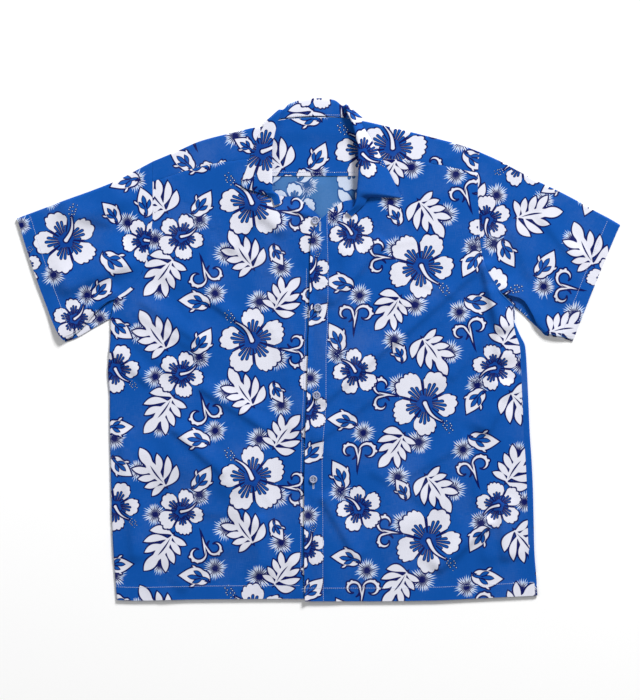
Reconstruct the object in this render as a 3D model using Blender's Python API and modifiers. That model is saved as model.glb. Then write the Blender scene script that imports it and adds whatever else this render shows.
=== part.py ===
"""A short-sleeved Hawaiian shirt laid flat on its back, fronts up, with its top button undone.

The shirt lies on the plane z = 0 with its collar towards +Y. Each piece is one cloth wall: a grid of points
through the middle of the cloth, given its thickness by a Solidify modifier. All sizes here are millimetres,
and MM turns them into metres when a mesh is made.
"""

import math

import bpy
import numpy as np

MM = 0.001

# ---------------------------------------------------------------- driving sizes
WALL = 1.0  # wall of the shirt cloth
GAP = 0.3  # between two pieces
SEAM = 0.4  # between the fronts and the back, measured along the cloth
BAND_WALL = 1.6  # the placket band is two plies
COLLAR_WALL = 1.6  # the collar is two plies
FOLD_RADIUS = 1.6  # of the side, shoulder and sleeve folds, at the middle of the wall
INSET = 3.5  # strip beside an edge that turns round a fold
SIDE_WRAP = 10.0  # the back comes this far round the viewer's right side
WRAP_TAPER = 70.0  # over this height the wrap grows from nothing at the underarm
ON_PANEL = WALL / 2 + GAP + COLLAR_WALL / 2  # middle of a two-ply piece above the panel it lies on
SLEEVE_CURL = 1.0  # radius of the curled lower edge of a sleeve's front layer
TUCK_RADIUS = 0.8  # radius of the underarm tuck's fold
TUCK_UNDER = 9.0  # how far the tuck runs in under the front layer
COLUMNS = 17  # grid lines across each front and across the back
STATIONS = 9  # grid lines from armhole to cuff

# ---------------------------------------------------------------- outlines
# Columns: x to the right, y towards the collar.
SIDE_RIGHT = ((-312, -388), (-315, -350), (-318, -305), (-320, -258), (-321, -212), (-322, -165),
              (-323, -120), (-323, -75), (-326, -32), (-323, 4), (-322, 24), (-322, 38), (-322, 48))
SIDE_LEFT = ((339, -381), (337, -350), (334, -310), (333, -265), (332, -220), (330, -175),
             (327, -130), (325, -85), (323, -40), (320, 4), (311, 24), (303, 46), (302, 68))
ARMHOLE_RIGHT = ((-322, 48), (-319, 63), (-315, 78), (-298, 91), (-283, 105), (-272, 123), (-264, 151),
                 (-260, 179), (-257, 207), (-257, 233), (-257, 260), (-257, 291))
ARMHOLE_LEFT = ((302, 68), (292, 78), (282, 88), (272, 105), (261, 123), (253, 151), (250, 176),
                (249, 207), (247, 241), (247, 274), (249, 306))
# Heights at which the grid lines meet the armholes: front panel, back panel, then the yoke's two halves.
FRONT_LEVELS_RIGHT = (48, 63, 78, 97, 118, 142, 166, 190, 214, 237, 260)
FRONT_LEVELS_LEFT = (68, 78, 88, 104, 124, 148, 173, 198, 224, 249, 274)
BACK_LEVELS_RIGHT = (48, 63, 78, 100, 126, 154, 183, 212, 241, 269)
BACK_LEVELS_LEFT = (68, 80, 94, 114, 138, 163, 189, 215, 242, 269)
FIRST_SLEEVE_LEVEL = 2  # the sleeve's front layer starts here; below it the tuck shows

# The neck edges of the fronts, one row for each front level above the underarm.
NECK_RIGHT = ((9, 49), (9, 95), (9, 140), (8, 180), (3, 203), (-16, 221), (-36, 236), (-61, 238),
              (-77, 249), (-85, 275), (-89, 298))
NECK_LEFT = ((15, 49), (16, 90), (16, 128), (15, 170), (14, 211), (27, 222), (41, 230), (58, 233),
             (71, 249), (80, 275), (81, 297))
# The placket, one row for each front level: columns y, x of its seam, x of its free edge.
PLACKET = ((-390, 9, -21), (-345, 8, -22), (-300, 8, -22), (-255, 8, -22), (-210, 7, -22), (-165, 7, -21),
           (-120, 10, -20), (-75, 13, -18), (-30, 13, -17), (-4, 13, -16), (16, 14, -16), (34, 15, -15),
           (49, 15, -15),
           (90, 16, -13.5), (128, 16, -13), (170, 15, -11.5), (211, 14, 3))
PLACKET_EDGE_TOP = 201.5  # y of the band's free corner
UNDERLAP_X = 9.0  # the button stand ends here, under the placket

YOKE_SEAM_RIGHT = ((-257, 260), (-219, 273), (-162, 288), (-108, 296), (-89, 298))
YOKE_SEAM_LEFT = ((247, 274), (230, 277), (190, 286), (159, 291), (126, 294), (81, 297))
SHOULDER_RIGHT = ((-257, 291), (-219, 307), (-182, 323), (-123, 338), (-102, 343), (-77, 346))
SHOULDER_LEFT = ((249, 306), (225, 315), (193, 324), (133, 339), (97, 347.5), (72, 353), (56, 355.5))
NECK_BACK = ((-77, 346), (-60, 356), (-29, 359), (0, 360), (24, 360), (42, 359), (56, 355.5))
BACK_SEAM_Y = 269.0

HEM_RIGHT = ((-312, -388), (-280, -389), (-184, -387), (-22, -386), (9, -386))
HEM_LEFT = ((9, -390), (75, -390), (173, -389), (238, -386), (320, -382), (339, -381))

SLEEVE_TOP_RIGHT = ((-257, 291), (-283, 277), (-311, 262), (-351, 246), (-394, 230.5), (-436, 214.5),
                    (-467, 203))
SLEEVE_TOP_LEFT = ((249, 306), (278, 293), (308, 277), (336, 262), (370, 246), (399, 231), (427, 215),
                   (450, 203), (467, 193))
CUFF_RIGHT = ((-393, 12), (-403, 24), (-425, 77), (-447, 139), (-467, 203))
CUFF_LEFT = ((394, 13), (419, 77), (444, 139), (467, 193))
UNDERARM_RIGHT = ((-323, 48), (-348, 34), (-374, 19), (-393, 12))
UNDERARM_LEFT = ((303.3, 68), (317, 56), (330, 43), (344, 30), (352, 22), (372, 19), (394, 13))
TUCK_EDGE_RIGHT = ((-315, 78), (-326, 74), (-350, 55), (-363, 40), (-382, 24), (-397, 18))
TUCK_EDGE_LEFT = ((282, 88), (295, 84), (319, 76), (333, 56), (343, 35), (353, 27), (372, 23), (396, 19))

# The collar, from the wearer's right front end round the back of the neck to the left one. Columns: the inner
# edge of the roll, the outer edge of the fall, the seam to the neck, the lean (1 the fall lies on top, 0 it
# stands at the shoulder's fold, -1 it lies underneath), and the height of the roll.
COLLAR = (
    ((-59, 226), (-68, 223), (-64, 228), 1, 1.5),
    ((-62, 238), (-73, 235), (-67, 237), 1, 2.5),
    ((-72, 248), (-119, 255), (-78, 247), 1, 3.5),
    ((-72, 275), (-111, 281), (-84, 275), 1, 4.0),
    ((-72, 309), (-102, 309), (-88, 309), 1, 4.0),
    ((-66, 343), (-93, 331), (-83, 333), 1, 4.0),
    ((-58, 369), (-85, 347), (-75, 342), 1, 3.5),
    ((-60, 371), (-87, 349), (-78, 350), 0, 2.2),
    ((-56, 371), (-84, 346), (-70, 352), -1, 1.6),
    ((-44, 381), (-60, 346), (-58, 358), -1, 1.6),
    ((-22, 387), (-29, 346), (-29, 361), -1, 1.6),
    ((2, 389), (0, 346), (0, 362), -1, 1.6),
    ((24, 386), (28, 347), (24, 361), -1, 1.6),
    ((38, 377), (63, 354), (46, 359), -1, 1.6),
    ((42, 379), (69, 358), (60, 359), 0, 2.2),
    ((42, 375), (67, 353), (60, 351), 1, 4.5),
    ((53, 348), (81, 326), (71, 335), 1, 6.0),
    ((61, 309), (97, 298), (80, 309), 1, 7.0),
    ((62, 275), (114, 266), (81, 275), 1, 7.5),
    ((60, 249), (129, 235), (72, 248), 1, 7.5),
    ((59, 236), (80, 236), (62, 234), 1, 6.0),
    ((56, 223), (70, 224), (57, 225), 1, 4.5),
    ((44, 212), (51, 206), (47, 212), 1, 2.0),
)
FALL_REACH = (-92.0, 70.0, 340.0)  # the back fall lies under the yoke: its two sides and its lower edge
FALL_RISE = COLLAR_WALL + GAP  # so the yoke lies this much higher there
BACK_STAND = 3.2  # middle of the stand behind the neck, above the fall
FALL_BLEND = 26.0  # and comes down over this distance

# The upper layer lies higher round the neck: centre, radius and height.
NECK_LOFT = (-5.0, 300.0, 115.0, 2.3)

# Large folds of the upper layer: columns x and y of one end, x and y of the other, height, half width.
FOLDS = (
    (-316, 92, -410, 7, 4.5, 15),  # over the tuck of the right sleeve
    (284, 104, 372, 8, 4.0, 14),  # over the tuck of the left sleeve
    (-286, 62, -170, -10, 2.4, 17),  # drag lines from the right underarm
    (-290, 20, -215, -45, 1.8, 14),
    (-250, 120, -150, 90, 1.8, 20),
    (-112, 232, -50, 180, 4.2, 17),  # swell under the end of the collar
    (262, 96, 284, -20, 3.2, 13),  # beside the left underarm
    (240, 60, 190, -60, 2.0, 18),
    (292, -90, 268, -250, 2.6, 18),  # soft folds above the left hem
    (240, -180, 262, -330, 2.0, 16),
    (150, -250, 60, -370, 1.6, 22),
    (40, 160, 52, -80, 1.8, 15),  # beside the placket
    (-60, 110, -38, -130, 1.5, 16),
    (-150, -200, -70, -350, 1.8, 22),
    (-262, -150, -292, -330, 2.0, 18),
    (-302, 168, -330, 96, 2.4, 16),  # across the sleeves
    (-372, 196, -402, 90, 1.6, 18),
    (300, 190, 330, 110, 2.2, 17),
    (392, 170, 384, 70, 1.6, 16),
)

# Buttons: columns x, y; the first lies on the button stand, the others on the placket.
BUTTONS = ((-5, 200), (-1, 65), (-3, -71), (-8, -201))
BUTTON_DIAMETER = 11.9
BUTTON_THICK = 2.4
BUTTON_HOLE = 1.9
BUTTON_HOLE_SPACING = 3.2


# ---------------------------------------------------------------- lines and grids
def flowing(rows, per):
    """The rows joined by a curve without overshoot, with per steps between each two rows.

    A monotone cubic: each inner slope is the harmonic mean of its two neighbours, and 0 where they disagree.
    """
    values = np.asarray(rows, float)
    step = np.maximum(np.linalg.norm(np.diff(values, axis=0), axis=1), 1e-6)
    knots = np.concatenate([[0.0], np.cumsum(step)])
    slope = np.diff(values, axis=0) / step[:, None]
    before, after = slope[:-1], slope[1:]
    agree = before * after > 0
    safe = np.where(agree, before + after, 1.0)
    inner = np.where(agree, 2 * before * after / safe, 0.0)
    tangent = np.vstack([slope[:1], inner, slope[-1:]])
    share = np.arange(per) / per
    place = np.concatenate([np.add.outer(np.arange(len(step)), share).ravel(), [len(step) - 1e-9]])
    part = place.astype(int)
    u = (place - part)[:, None]
    width = (knots[part + 1] - knots[part])[:, None]
    return ((1 + 2 * u) * (1 - u) ** 2 * values[part] + u * (1 - u) ** 2 * width * tangent[part]
            + u * u * (3 - 2 * u) * values[part + 1] + u * u * (u - 1) * width * tangent[part + 1])


def along(rows, shares):
    """Points at the given shares of a curve's length."""
    line = flowing(rows, 16)
    reach = np.concatenate([[0.0], np.cumsum(np.linalg.norm(np.diff(line, axis=0), axis=1))])
    wanted = np.asarray(shares) * reach[-1]
    return np.stack([np.interp(wanted, reach, line[:, k]) for k in range(line.shape[1])], axis=1)


def at_heights(rows, heights):
    """Points of a curve that climbs in y, at the given heights."""
    line = flowing(rows, 16)
    heights = np.asarray(heights, float)
    return np.stack([np.interp(heights, line[:, 1], line[:, 0]), heights], axis=1)


def evenly(count):
    return np.linspace(0.0, 1.0, count)


def patch(left, right, lower, upper, shares=None):
    """A Coons patch: the plan grid between four edges, its rows from lower to upper."""
    rows = (evenly(len(left)) if shares is None else np.array(shares))[:, None, None]
    columns = np.linspace(0.0, 1.0, len(lower))[None, :, None]
    across = (1 - columns) * left[:, None] + columns * right[:, None]
    upward = (1 - rows) * lower[None] + rows * upper[None]
    corners = ((1 - rows) * ((1 - columns) * left[0] + columns * right[0])
               + rows * ((1 - columns) * left[-1] + columns * right[-1]))
    return across + upward - corners


def ease(low, high, value):
    """0 below low, 1 above high, smooth between."""
    t = np.clip((value - low) / (high - low), 0.0, 1.0)
    return t * t * (3 - 2 * t)


# ---------------------------------------------------------------- heights of the layers
def back_height(x, y):
    """Middle of the lower layer: on the ground, but over the collar's fall behind the neck."""
    left, right, lower = FALL_REACH
    over = (ease(left - FALL_BLEND, left, x) * ease(-right - FALL_BLEND, -right, -x)
            * ease(lower - FALL_BLEND, lower, y))
    return WALL / 2 + FALL_RISE * over


def fold_height(x, y, folds):
    """Sum of the ridges: each is height * exp(-(distance / half width)^2), dying out at its two ends."""
    total = np.zeros(np.broadcast(x, y).shape)
    for x0, y0, x1, y1, height, width in folds:
        length = math.hypot(x1 - x0, y1 - y0)
        ux, uy = (x1 - x0) / length, (y1 - y0) / length
        run = (x - x0) * ux + (y - y0) * uy
        off = (x - x0) * -uy + (y - y0) * ux
        ends = ease(-0.6 * width, 0.8 * width, run) * ease(-0.6 * width, 0.8 * width, length - run)
        total = total + height * np.exp(-((off / width) ** 2)) * ends
    return total


def front_height(x, y):
    """Middle of the upper layer: the side folds' height, the loft round the neck and the large folds."""
    loft_x, loft_y, radius, loft = NECK_LOFT
    away = np.hypot(x - loft_x, y - loft_y)
    return (WALL / 2 + 2 * FOLD_RADIUS + loft * (1 - ease(radius, 1.8 * radius, away))
            + fold_height(x, y, FOLDS))


def left_front_height(x, y):
    """The wearer's left front rises to meet the placket, which lies on the other front."""
    return front_height(x, y) + ON_PANEL * (1 - ease(17.0, 46.0, x))


def raised(plan, height):
    """A plan grid with its heights as the third coordinate."""
    return np.concatenate([plan, height(plan[..., 0], plan[..., 1])[..., None]], axis=-1)


def rolled(edge, inward, reach, upper, lower, turned=True):
    """Cloth that turns round a fold at the outline.

    edge and inward are one plan point and direction for each grid line; reach is the distance along the cloth
    from the outermost point, negative on the upper side. Within a quarter turn the section is a circle of
    radius (upper - lower) / 2. With turned false the cloth stays flat on its own side.
    """
    radius = (upper - lower)[:, None] / 2
    quarter = math.pi / 2 * radius
    angle = np.clip(reach / radius, -math.pi / 2, math.pi / 2)
    depth = radius * (1 - np.cos(angle)) + np.maximum(np.abs(reach) - quarter, 0.0)
    height = (upper + lower)[:, None] / 2 - radius * np.sin(angle)
    flat = np.where(reach < 0, upper[:, None], lower[:, None])
    turned = np.broadcast_to(np.asarray(turned, float).reshape(-1, 1), reach.shape)
    depth = turned * depth + (1 - turned) * np.abs(reach)
    height = turned * height + (1 - turned) * flat
    plan = edge[:, None] + inward[:, None] * depth[..., None]
    return np.concatenate([plan, height[..., None]], axis=-1)


# ---------------------------------------------------------------- the body
def wrap_at(y, underarm):
    """How far the side seam lies in from the viewer's right edge, at each height."""
    return SIDE_WRAP * ease(0.0, WRAP_TAPER, underarm - y)


def side_chain(side, armhole, levels):
    """Outline points from hem to underarm and on up the armhole, and which of them are folded."""
    low = np.asarray(side, float)
    high = at_heights(armhole, levels)[1:]
    folded = np.concatenate([np.ones(len(low) - 2), [0.7], np.zeros(len(high) + 1)])
    return np.vstack([low, high]), folded


def side_strip(chain, folded, inward, reach):
    """The columns beside a side edge, turned round the fold below the underarm."""
    direction = np.tile([inward, 0.0], (len(chain), 1))
    x, y = chain[:, 0] + inward * INSET, chain[:, 1]
    return rolled(chain, direction, reach, front_height(x, y), back_height(x, y), folded)


def edge_reach(start, end, shares):
    """Distances along the cloth, for each grid line, from start to end."""
    return start[:, None] + (end - start)[:, None] * np.asarray(shares)[None]


def inset_depth(reach, radius):
    """Plan depth of a point of the flat cloth beyond the fold."""
    return radius + np.abs(reach) - math.pi / 2 * radius


EDGE_SHARES = (0.4, 0.68, 0.88, 1.0)


def front_right_grid():
    """The wearer's right front: side fold, armhole, yoke seam, neck edge and button stand."""
    chain, folded = side_chain(SIDE_RIGHT, ARMHOLE_RIGHT, FRONT_LEVELS_RIGHT)
    centre_y = np.linspace(HEM_RIGHT[-1][1], NECK_RIGHT[0][1], len(SIDE_RIGHT))[:-1]
    centre = np.vstack([np.stack([np.full(len(centre_y), UNDERLAP_X), centre_y], axis=1), NECK_RIGHT])
    end = np.full(len(chain), -SEAM / 2)
    start = end - INSET
    inner = chain + [[1.0, 0.0]] * np.where(folded, inset_depth(start, FOLD_RADIUS), np.abs(start))[:, None]
    hem = along(HEM_RIGHT, evenly(COLUMNS))
    hem[0], hem[-1] = inner[0], centre[0]
    seam = along(YOKE_SEAM_RIGHT, evenly(COLUMNS)) - [0.0, GAP]
    centre[-1] -= [0.0, GAP]
    inner[-1], seam[0], seam[-1] = seam[0] + [INSET, 0], seam[0] + [INSET, 0], centre[-1]
    main = raised(patch(inner, centre, hem, seam), front_height)
    strip = side_strip(chain, folded, 1.0, edge_reach(start, end, EDGE_SHARES))[:, ::-1]
    strip[-1, :, 1] -= GAP
    return np.concatenate([strip, main], axis=1)


def front_left_chain():
    """The edge of the wearer's left front along the placket seam and up the neck."""
    rows = np.array([(seam, y) for y, seam, _ in PLACKET[:len(SIDE_LEFT) - 1]], float)
    return np.vstack([rows, NECK_LEFT])


def front_left_grid():
    """The wearer's left front: placket seam, neck edge, yoke seam, armhole and side seam."""
    chain, folded = side_chain(SIDE_LEFT, ARMHOLE_LEFT, FRONT_LEVELS_LEFT)
    wrap = wrap_at(chain[:, 1], SIDE_LEFT[-1][1]) * folded
    end = -wrap - SEAM / 2
    start = end - INSET
    outer = chain - [[1.0, 0.0]] * np.where(folded, inset_depth(start, FOLD_RADIUS), np.abs(start))[:, None]
    centre = front_left_chain() + [GAP, 0.0]
    hem = along(HEM_LEFT, evenly(COLUMNS))
    hem[0], hem[-1] = centre[0], outer[0]
    seam = along(YOKE_SEAM_LEFT[::-1], evenly(COLUMNS)) - [0.0, GAP]
    centre[-1], outer[-1] = seam[0], seam[-1] - [INSET, 0]
    seam[-1] = outer[-1]
    main = raised(patch(centre, outer, hem, seam), left_front_height)
    strip = side_strip(chain, folded, -1.0, edge_reach(start, end, EDGE_SHARES))
    strip[-1, :, 1] -= GAP
    return np.concatenate([main, strip], axis=1)


WRAP_REACH = (-9.8, -6.0, -2.9, -1.9, -1.0, 0.0, 1.0, 1.9, 2.6)  # of the back's edge where the wrap is full
BARE_REACH = (0.2, 0.55, 0.9, 1.25, 1.6, 1.95, 2.3, 2.65, 3.0)  # and where there is none


def back_grid():
    """The back below its yoke seam: one edge meets the front at the fold, the other comes round it."""
    left, left_folded = side_chain(SIDE_RIGHT, ARMHOLE_RIGHT, BACK_LEVELS_RIGHT)
    right, right_folded = side_chain(SIDE_LEFT, ARMHOLE_LEFT, BACK_LEVELS_LEFT)
    far = np.full(len(left), INSET)
    near = np.full(len(left), SEAM / 2)
    share = (wrap_at(right[:, 1], SIDE_LEFT[-1][1]) * right_folded / SIDE_WRAP)[:, None]
    wrapped = share * np.array(WRAP_REACH) + (1 - share) * np.array(BARE_REACH)
    in_left = left + [[1.0, 0.0]] * np.where(left_folded, inset_depth(far, FOLD_RADIUS), far)[:, None]
    in_right = right - [[1.0, 0.0]] * np.where(right_folded, inset_depth(far, FOLD_RADIUS), far)[:, None]
    hem = np.stack([np.linspace(in_left[0, 0], in_right[0, 0], COLUMNS),
                    np.linspace(in_left[0, 1], in_right[0, 1], COLUMNS)], axis=1)
    top = np.stack([np.linspace(in_left[-1, 0], in_right[-1, 0], COLUMNS),
                    np.full(COLUMNS, BACK_SEAM_Y - GAP)], axis=1)
    in_left[-1], in_right[-1] = top[0], top[-1]
    main = raised(patch(in_left, in_right, hem, top), back_height)
    left_strip = side_strip(left, left_folded, 1.0, edge_reach(far, near, EDGE_SHARES))[:, ::-1]
    right_strip = side_strip(right, right_folded, -1.0, wrapped)[:, ::-1]
    left_strip[-1, :, 1] -= GAP
    right_strip[-1, :, 1] -= GAP
    return np.concatenate([left_strip, main, right_strip], axis=1)


def placket_grid():
    """The placket band, on the button stand, from its seam to its free edge."""
    rows = np.array(PLACKET, float)
    seam = rows[:, [1, 0]]
    edge = rows[:, [2, 0]]
    edge[-1, 1] = PLACKET_EDGE_TOP
    return raised(patch(edge, seam, np.linspace(edge[0], seam[0], 4), np.linspace(edge[-1], seam[-1], 4)),
                  lambda x, y: front_height(x, y) + ON_PANEL)


# ---------------------------------------------------------------- the yokes
SHOULDER_COLUMNS = 7
NECK_COLUMNS = 9
YOKE_SHARES = (0.0, 0.33, 0.62, 0.80, 1.0)
YOKE_TURN = np.radians([60, 30, 0, -30, -60])


def yoke_grid():
    """The outer yoke, from the back seam up to the shoulders and the neck, and over to the front seams.

    Rows run from the back seam to the fold, round it, and down to the front seam. The columns at the neck stop
    at the neck seam, so their later rows are left empty.
    """
    shoulder = evenly(SHOULDER_COLUMNS)
    outline = np.vstack([along(SHOULDER_RIGHT, shoulder), along(NECK_BACK, evenly(NECK_COLUMNS))[1:-1],
                         along(SHOULDER_LEFT[::-1], shoulder)])
    rise = INSET * 0.7
    fold_line = outline - [0.0, rise]
    seam = np.stack([outline[:, 0], np.full(len(outline), BACK_SEAM_Y)], axis=1)
    shares = np.array(YOKE_SHARES)
    arm = [at_heights(side, BACK_SEAM_Y + (side[-1][1] - rise - BACK_SEAM_Y) * shares)
           for side in (ARMHOLE_RIGHT, ARMHOLE_LEFT)]
    seam[0], seam[-1] = arm[0][0], arm[1][0]
    fold_line[0], fold_line[-1] = arm[0][-1], arm[1][-1]
    under = raised(patch(arm[0], arm[1], seam, fold_line, shares), back_height)
    neck = slice(SHOULDER_COLUMNS, SHOULDER_COLUMNS + NECK_COLUMNS - 2)
    under[-1, neck, 1] = outline[neck, 1] - GAP
    upper, lower = front_height(*fold_line.T), back_height(*fold_line.T)
    radius = (upper - lower)[:, None] / 2
    turn = rolled(outline, np.tile([0.0, -1.0], (len(outline), 1)), radius * YOKE_TURN[None], upper, lower)
    turn = turn.transpose(1, 0, 2)
    flaps = []
    for side, seam_rows, armhole, neck_edge in (
        (slice(0, SHOULDER_COLUMNS), YOKE_SEAM_RIGHT, ARMHOLE_RIGHT, NECK_RIGHT[-1]),
        (slice(-SHOULDER_COLUMNS, None), YOKE_SEAM_LEFT[::-1], ARMHOLE_LEFT, NECK_LEFT[-1]),
    ):
        start = fold_line[side]
        finish = along(seam_rows, shoulder)
        arm_edge = at_heights(armhole, np.linspace(armhole[-1][1] - rise, armhole[-2][1], 4))
        outer = 0 if side.start == 0 else -1
        neck_line = np.linspace(start[-1 - outer], neck_edge, 4)
        ends = (arm_edge, neck_line) if side.start == 0 else (neck_line, arm_edge)
        flaps.append(raised(patch(ends[0], ends[1], start, finish), front_height))
    blank = np.full((4, NECK_COLUMNS - 2, 3), np.nan)
    over = np.concatenate([flaps[0], blank, flaps[1]], axis=1)
    turn[:, neck] = np.nan
    return np.concatenate([under, turn, over])


def yoke_inner_grid():
    """The inner yoke, on the outer one, where the open neck shows it."""
    columns = 11
    upper = along(NECK_BACK, evenly(columns)) - [0.0, 2.5]
    lower = np.linspace((-99, BACK_SEAM_Y), (91, BACK_SEAM_Y), columns)
    shares = YOKE_SHARES
    left = along((lower[0], (-97, 305), upper[0]), shares)
    right = along((lower[-1], (89, 305), upper[-1]), shares)
    plan = patch(left, right, lower, upper, shares)
    return raised(plan, lambda x, y: back_height(x, y) + WALL + 1.5 * GAP)


# ---------------------------------------------------------------- the sleeves
SHOULDER_INSET = 0.7 * INSET  # the flat layers end this far below the shoulder's outline
CURL_ANGLES = np.radians([0, 30, 60, 90])
TUCK_TURN = np.radians([90, 45, 0, -45, -90])
TUCK_SHARES = np.array([0.25, 0.6, 1.0])


def sleeve_layer(low_edge, top_edge, arm_edge, cuff):
    """One flat layer of a sleeve: rows from armhole to cuff, columns from its low edge to the shoulder."""
    cuff_edge = along(cuff, evenly(len(arm_edge)))
    arm_edge[0], arm_edge[-1] = low_edge[0], top_edge[0]
    cuff_edge[0], cuff_edge[-1] = low_edge[-1], top_edge[-1]
    return patch(low_edge, top_edge, arm_edge, cuff_edge)


def sleeve_grid(side, armhole, front_levels, back_levels, top, cuff, underarm, tuck_edge):
    """A sleeve as a flattened tube, one row from armhole to cuff for each station.

    Its columns run from the curled lower edge of the front layer up to the shoulder fold, round it, down the
    back layer to the underarm, round that, and up the tuck to its end under the front layer. side is -1 for
    the wearer's right sleeve, which lies at -X.
    """
    station = evenly(STATIONS)
    clear = np.array([side * 1.5 * GAP, 0.0])
    up = np.array([0.0, 1.0])
    upward = np.tile(up, (STATIONS, 1))
    outline = along(top, station) + clear
    tuck = along(tuck_edge, station) + clear
    low = along(underarm, station) + clear
    high = outline - up * SHOULDER_INSET
    shoulder_y = armhole[-1][1] - SHOULDER_INSET

    # the armhole edges of the two layers, on the grid lines of the body and the yoke
    yoke_front = np.linspace(armhole[-2][1], shoulder_y, 4)[1:]
    yoke_back = BACK_SEAM_Y + (shoulder_y - BACK_SEAM_Y) * np.array(YOKE_SHARES[1:])
    front_arm = at_heights(armhole, [*front_levels[FIRST_SLEEVE_LEVEL:], *yoke_front]) + clear
    back_arm = at_heights(armhole, [*back_levels, *yoke_back]) + clear
    front = raised(sleeve_layer(tuck + up * 3.0, high, front_arm, cuff), front_height)
    back = raised(sleeve_layer(low + up * 3.0, high, back_arm, cuff), back_height)

    # the front layer's lower edge curls a quarter turn down
    at = front[:, 0, 2]
    depth = SLEEVE_CURL * (1 - np.cos(CURL_ANGLES))
    drop = SLEEVE_CURL * (1 - np.sin(CURL_ANGLES))
    curl = np.concatenate([tuck[:, None] + upward[:, None] * depth[None, :, None],
                           (at[:, None] - drop[None])[..., None]], axis=-1)

    # the shoulder fold joins the two layers
    upper, lower = front_height(*high.T), back_height(*high.T)
    fold = rolled(outline, -upward, -(upper - lower)[:, None] / 2 * YOKE_TURN, upper, lower)

    # the underarm fold, and the tuck that runs in under the front layer
    ground = np.full(STATIONS, WALL / 2)
    lifted = ground + 2 * TUCK_RADIUS
    turn = rolled(low, upward, np.tile(TUCK_RADIUS * TUCK_TURN, (STATIONS, 1)), lifted, ground)
    begin = low + up * TUCK_RADIUS
    end = tuck + up * TUCK_UNDER
    run = begin[:, None] + (end - begin)[:, None] * TUCK_SHARES[None, :, None]
    run[0, :, 0] += side * 0.8
    under = np.concatenate([run, np.full((STATIONS, len(TUCK_SHARES), 1), lifted[0])], axis=-1)
    return np.concatenate([curl, front, fold, back[:, ::-1], turn, under], axis=1)


# ---------------------------------------------------------------- the collar
COLLAR_STEPS = 2  # grid lines for each row of the collar's table
STAND_SHARES = (0.0, 0.3, 0.6, 0.82)
FALL_SHARES = (0.0, 0.12, 0.26, 0.42, 0.6, 0.8, 1.0)


def bezier(p0, p1, p2, p3, t):
    t = np.asarray(t)[None, :, None]
    p0, p1, p2, p3 = (p[:, None] for p in (p0, p1, p2, p3))
    return (1 - t) ** 3 * p0 + 3 * t * (1 - t) ** 2 * p1 + 3 * t * t * (1 - t) * p2 + t ** 3 * p3


def collar_grid():
    """The collar: from the neck seam along the stand, over the roll and down the fall to its outer edge.

    Each section is two Bezier curves that meet at the roll with one tangent. That tangent points up where the
    fall lies on the fronts, down where it lies under the back, and outwards at the two shoulder folds.
    """
    table = np.array([[*roll, *fall, *seam, lean, lift] for roll, fall, seam, lean, lift in COLLAR], float)
    rows = flowing(table, COLLAR_STEPS)
    roll, fall, seam, lean, lift = rows[:, 0:2], rows[:, 2:4], rows[:, 4:6], rows[:, 6], rows[:, 7]
    on_top = (1 + lean) / 2
    seam_z = on_top * (front_height(*seam.T) + ON_PANEL + GAP) + (1 - on_top) * BACK_STAND
    fall_z = on_top * (front_height(*fall.T) + ON_PANEL + GAP) + (1 - on_top) * COLLAR_WALL / 2
    roll_z = on_top * (seam_z + lift) + (1 - on_top) * (BACK_STAND + COLLAR_WALL / 2) / 2
    seam, fall, roll = (np.column_stack([p, z]) for p, z in ((seam, seam_z), (fall, fall_z), (roll, roll_z)))
    heading = fall - roll
    outward = np.column_stack([-heading[:, 1], heading[:, 0], np.zeros(len(heading))])
    outward /= np.linalg.norm(outward, axis=1, keepdims=True)
    outward *= np.where(outward[:, 1:2] < 0, -1.0, 1.0)
    tilt = lean * math.pi / 2
    tangent = outward * np.cos(tilt)[:, None] + np.array([0.0, 0.0, 1.0]) * np.sin(tilt)[:, None]
    pull = 0.9 * lift[:, None] * tangent
    level_stand = seam + (roll - seam) * 0.5
    level_stand[:, 2] = seam[:, 2]
    level_fall = fall + (roll - fall) * 0.6
    level_fall[:, 2] = fall[:, 2] + np.clip(lean, 0, 1) * 0.9 * lift
    stand = bezier(seam, level_stand, roll - pull, roll, STAND_SHARES)
    over = bezier(roll, roll + pull, level_fall, fall, FALL_SHARES)
    return np.concatenate([stand, over], axis=1)


# ---------------------------------------------------------------- meshes
def wall_object(name, grid, thickness, colour):
    """A mesh of the grid's quads, where all four corners exist, with its thickness from Solidify."""
    rows, columns = grid.shape[:2]
    index = np.arange(rows * columns).reshape(rows, columns)
    quads = np.stack([index[:-1, :-1], index[:-1, 1:], index[1:, 1:], index[1:, :-1]], axis=-1)
    quads = quads.reshape(-1, 4)
    points = grid.reshape(-1, 3) * MM
    quads = quads[~np.isnan(points[quads]).any(axis=(1, 2))]
    used = np.unique(quads)
    lookup = np.full(len(points), -1)
    lookup[used] = np.arange(len(used))
    mesh = bpy.data.meshes.new(name)
    mesh.from_pydata(points[used].tolist(), [], lookup[quads].tolist())
    mesh.validate()
    mesh.shade_smooth()
    piece = bpy.data.objects.new(name, mesh)
    bpy.data.collections["hawaiian_shirt"].objects.link(piece)
    solid = piece.modifiers.new("wall", "SOLIDIFY")
    solid.thickness = thickness * MM
    solid.offset = 0.0
    mesh.materials.append(colour)
    return piece


def material(name, colour, roughness):
    made = bpy.data.materials.new(name)
    made.use_nodes = True
    shader = made.node_tree.nodes["Principled BSDF"]
    shader.inputs["Base Color"].default_value = (*colour, 1.0)
    shader.inputs["Roughness"].default_value = roughness
    made.diffuse_color = (*colour, 1.0)
    return made


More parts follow.
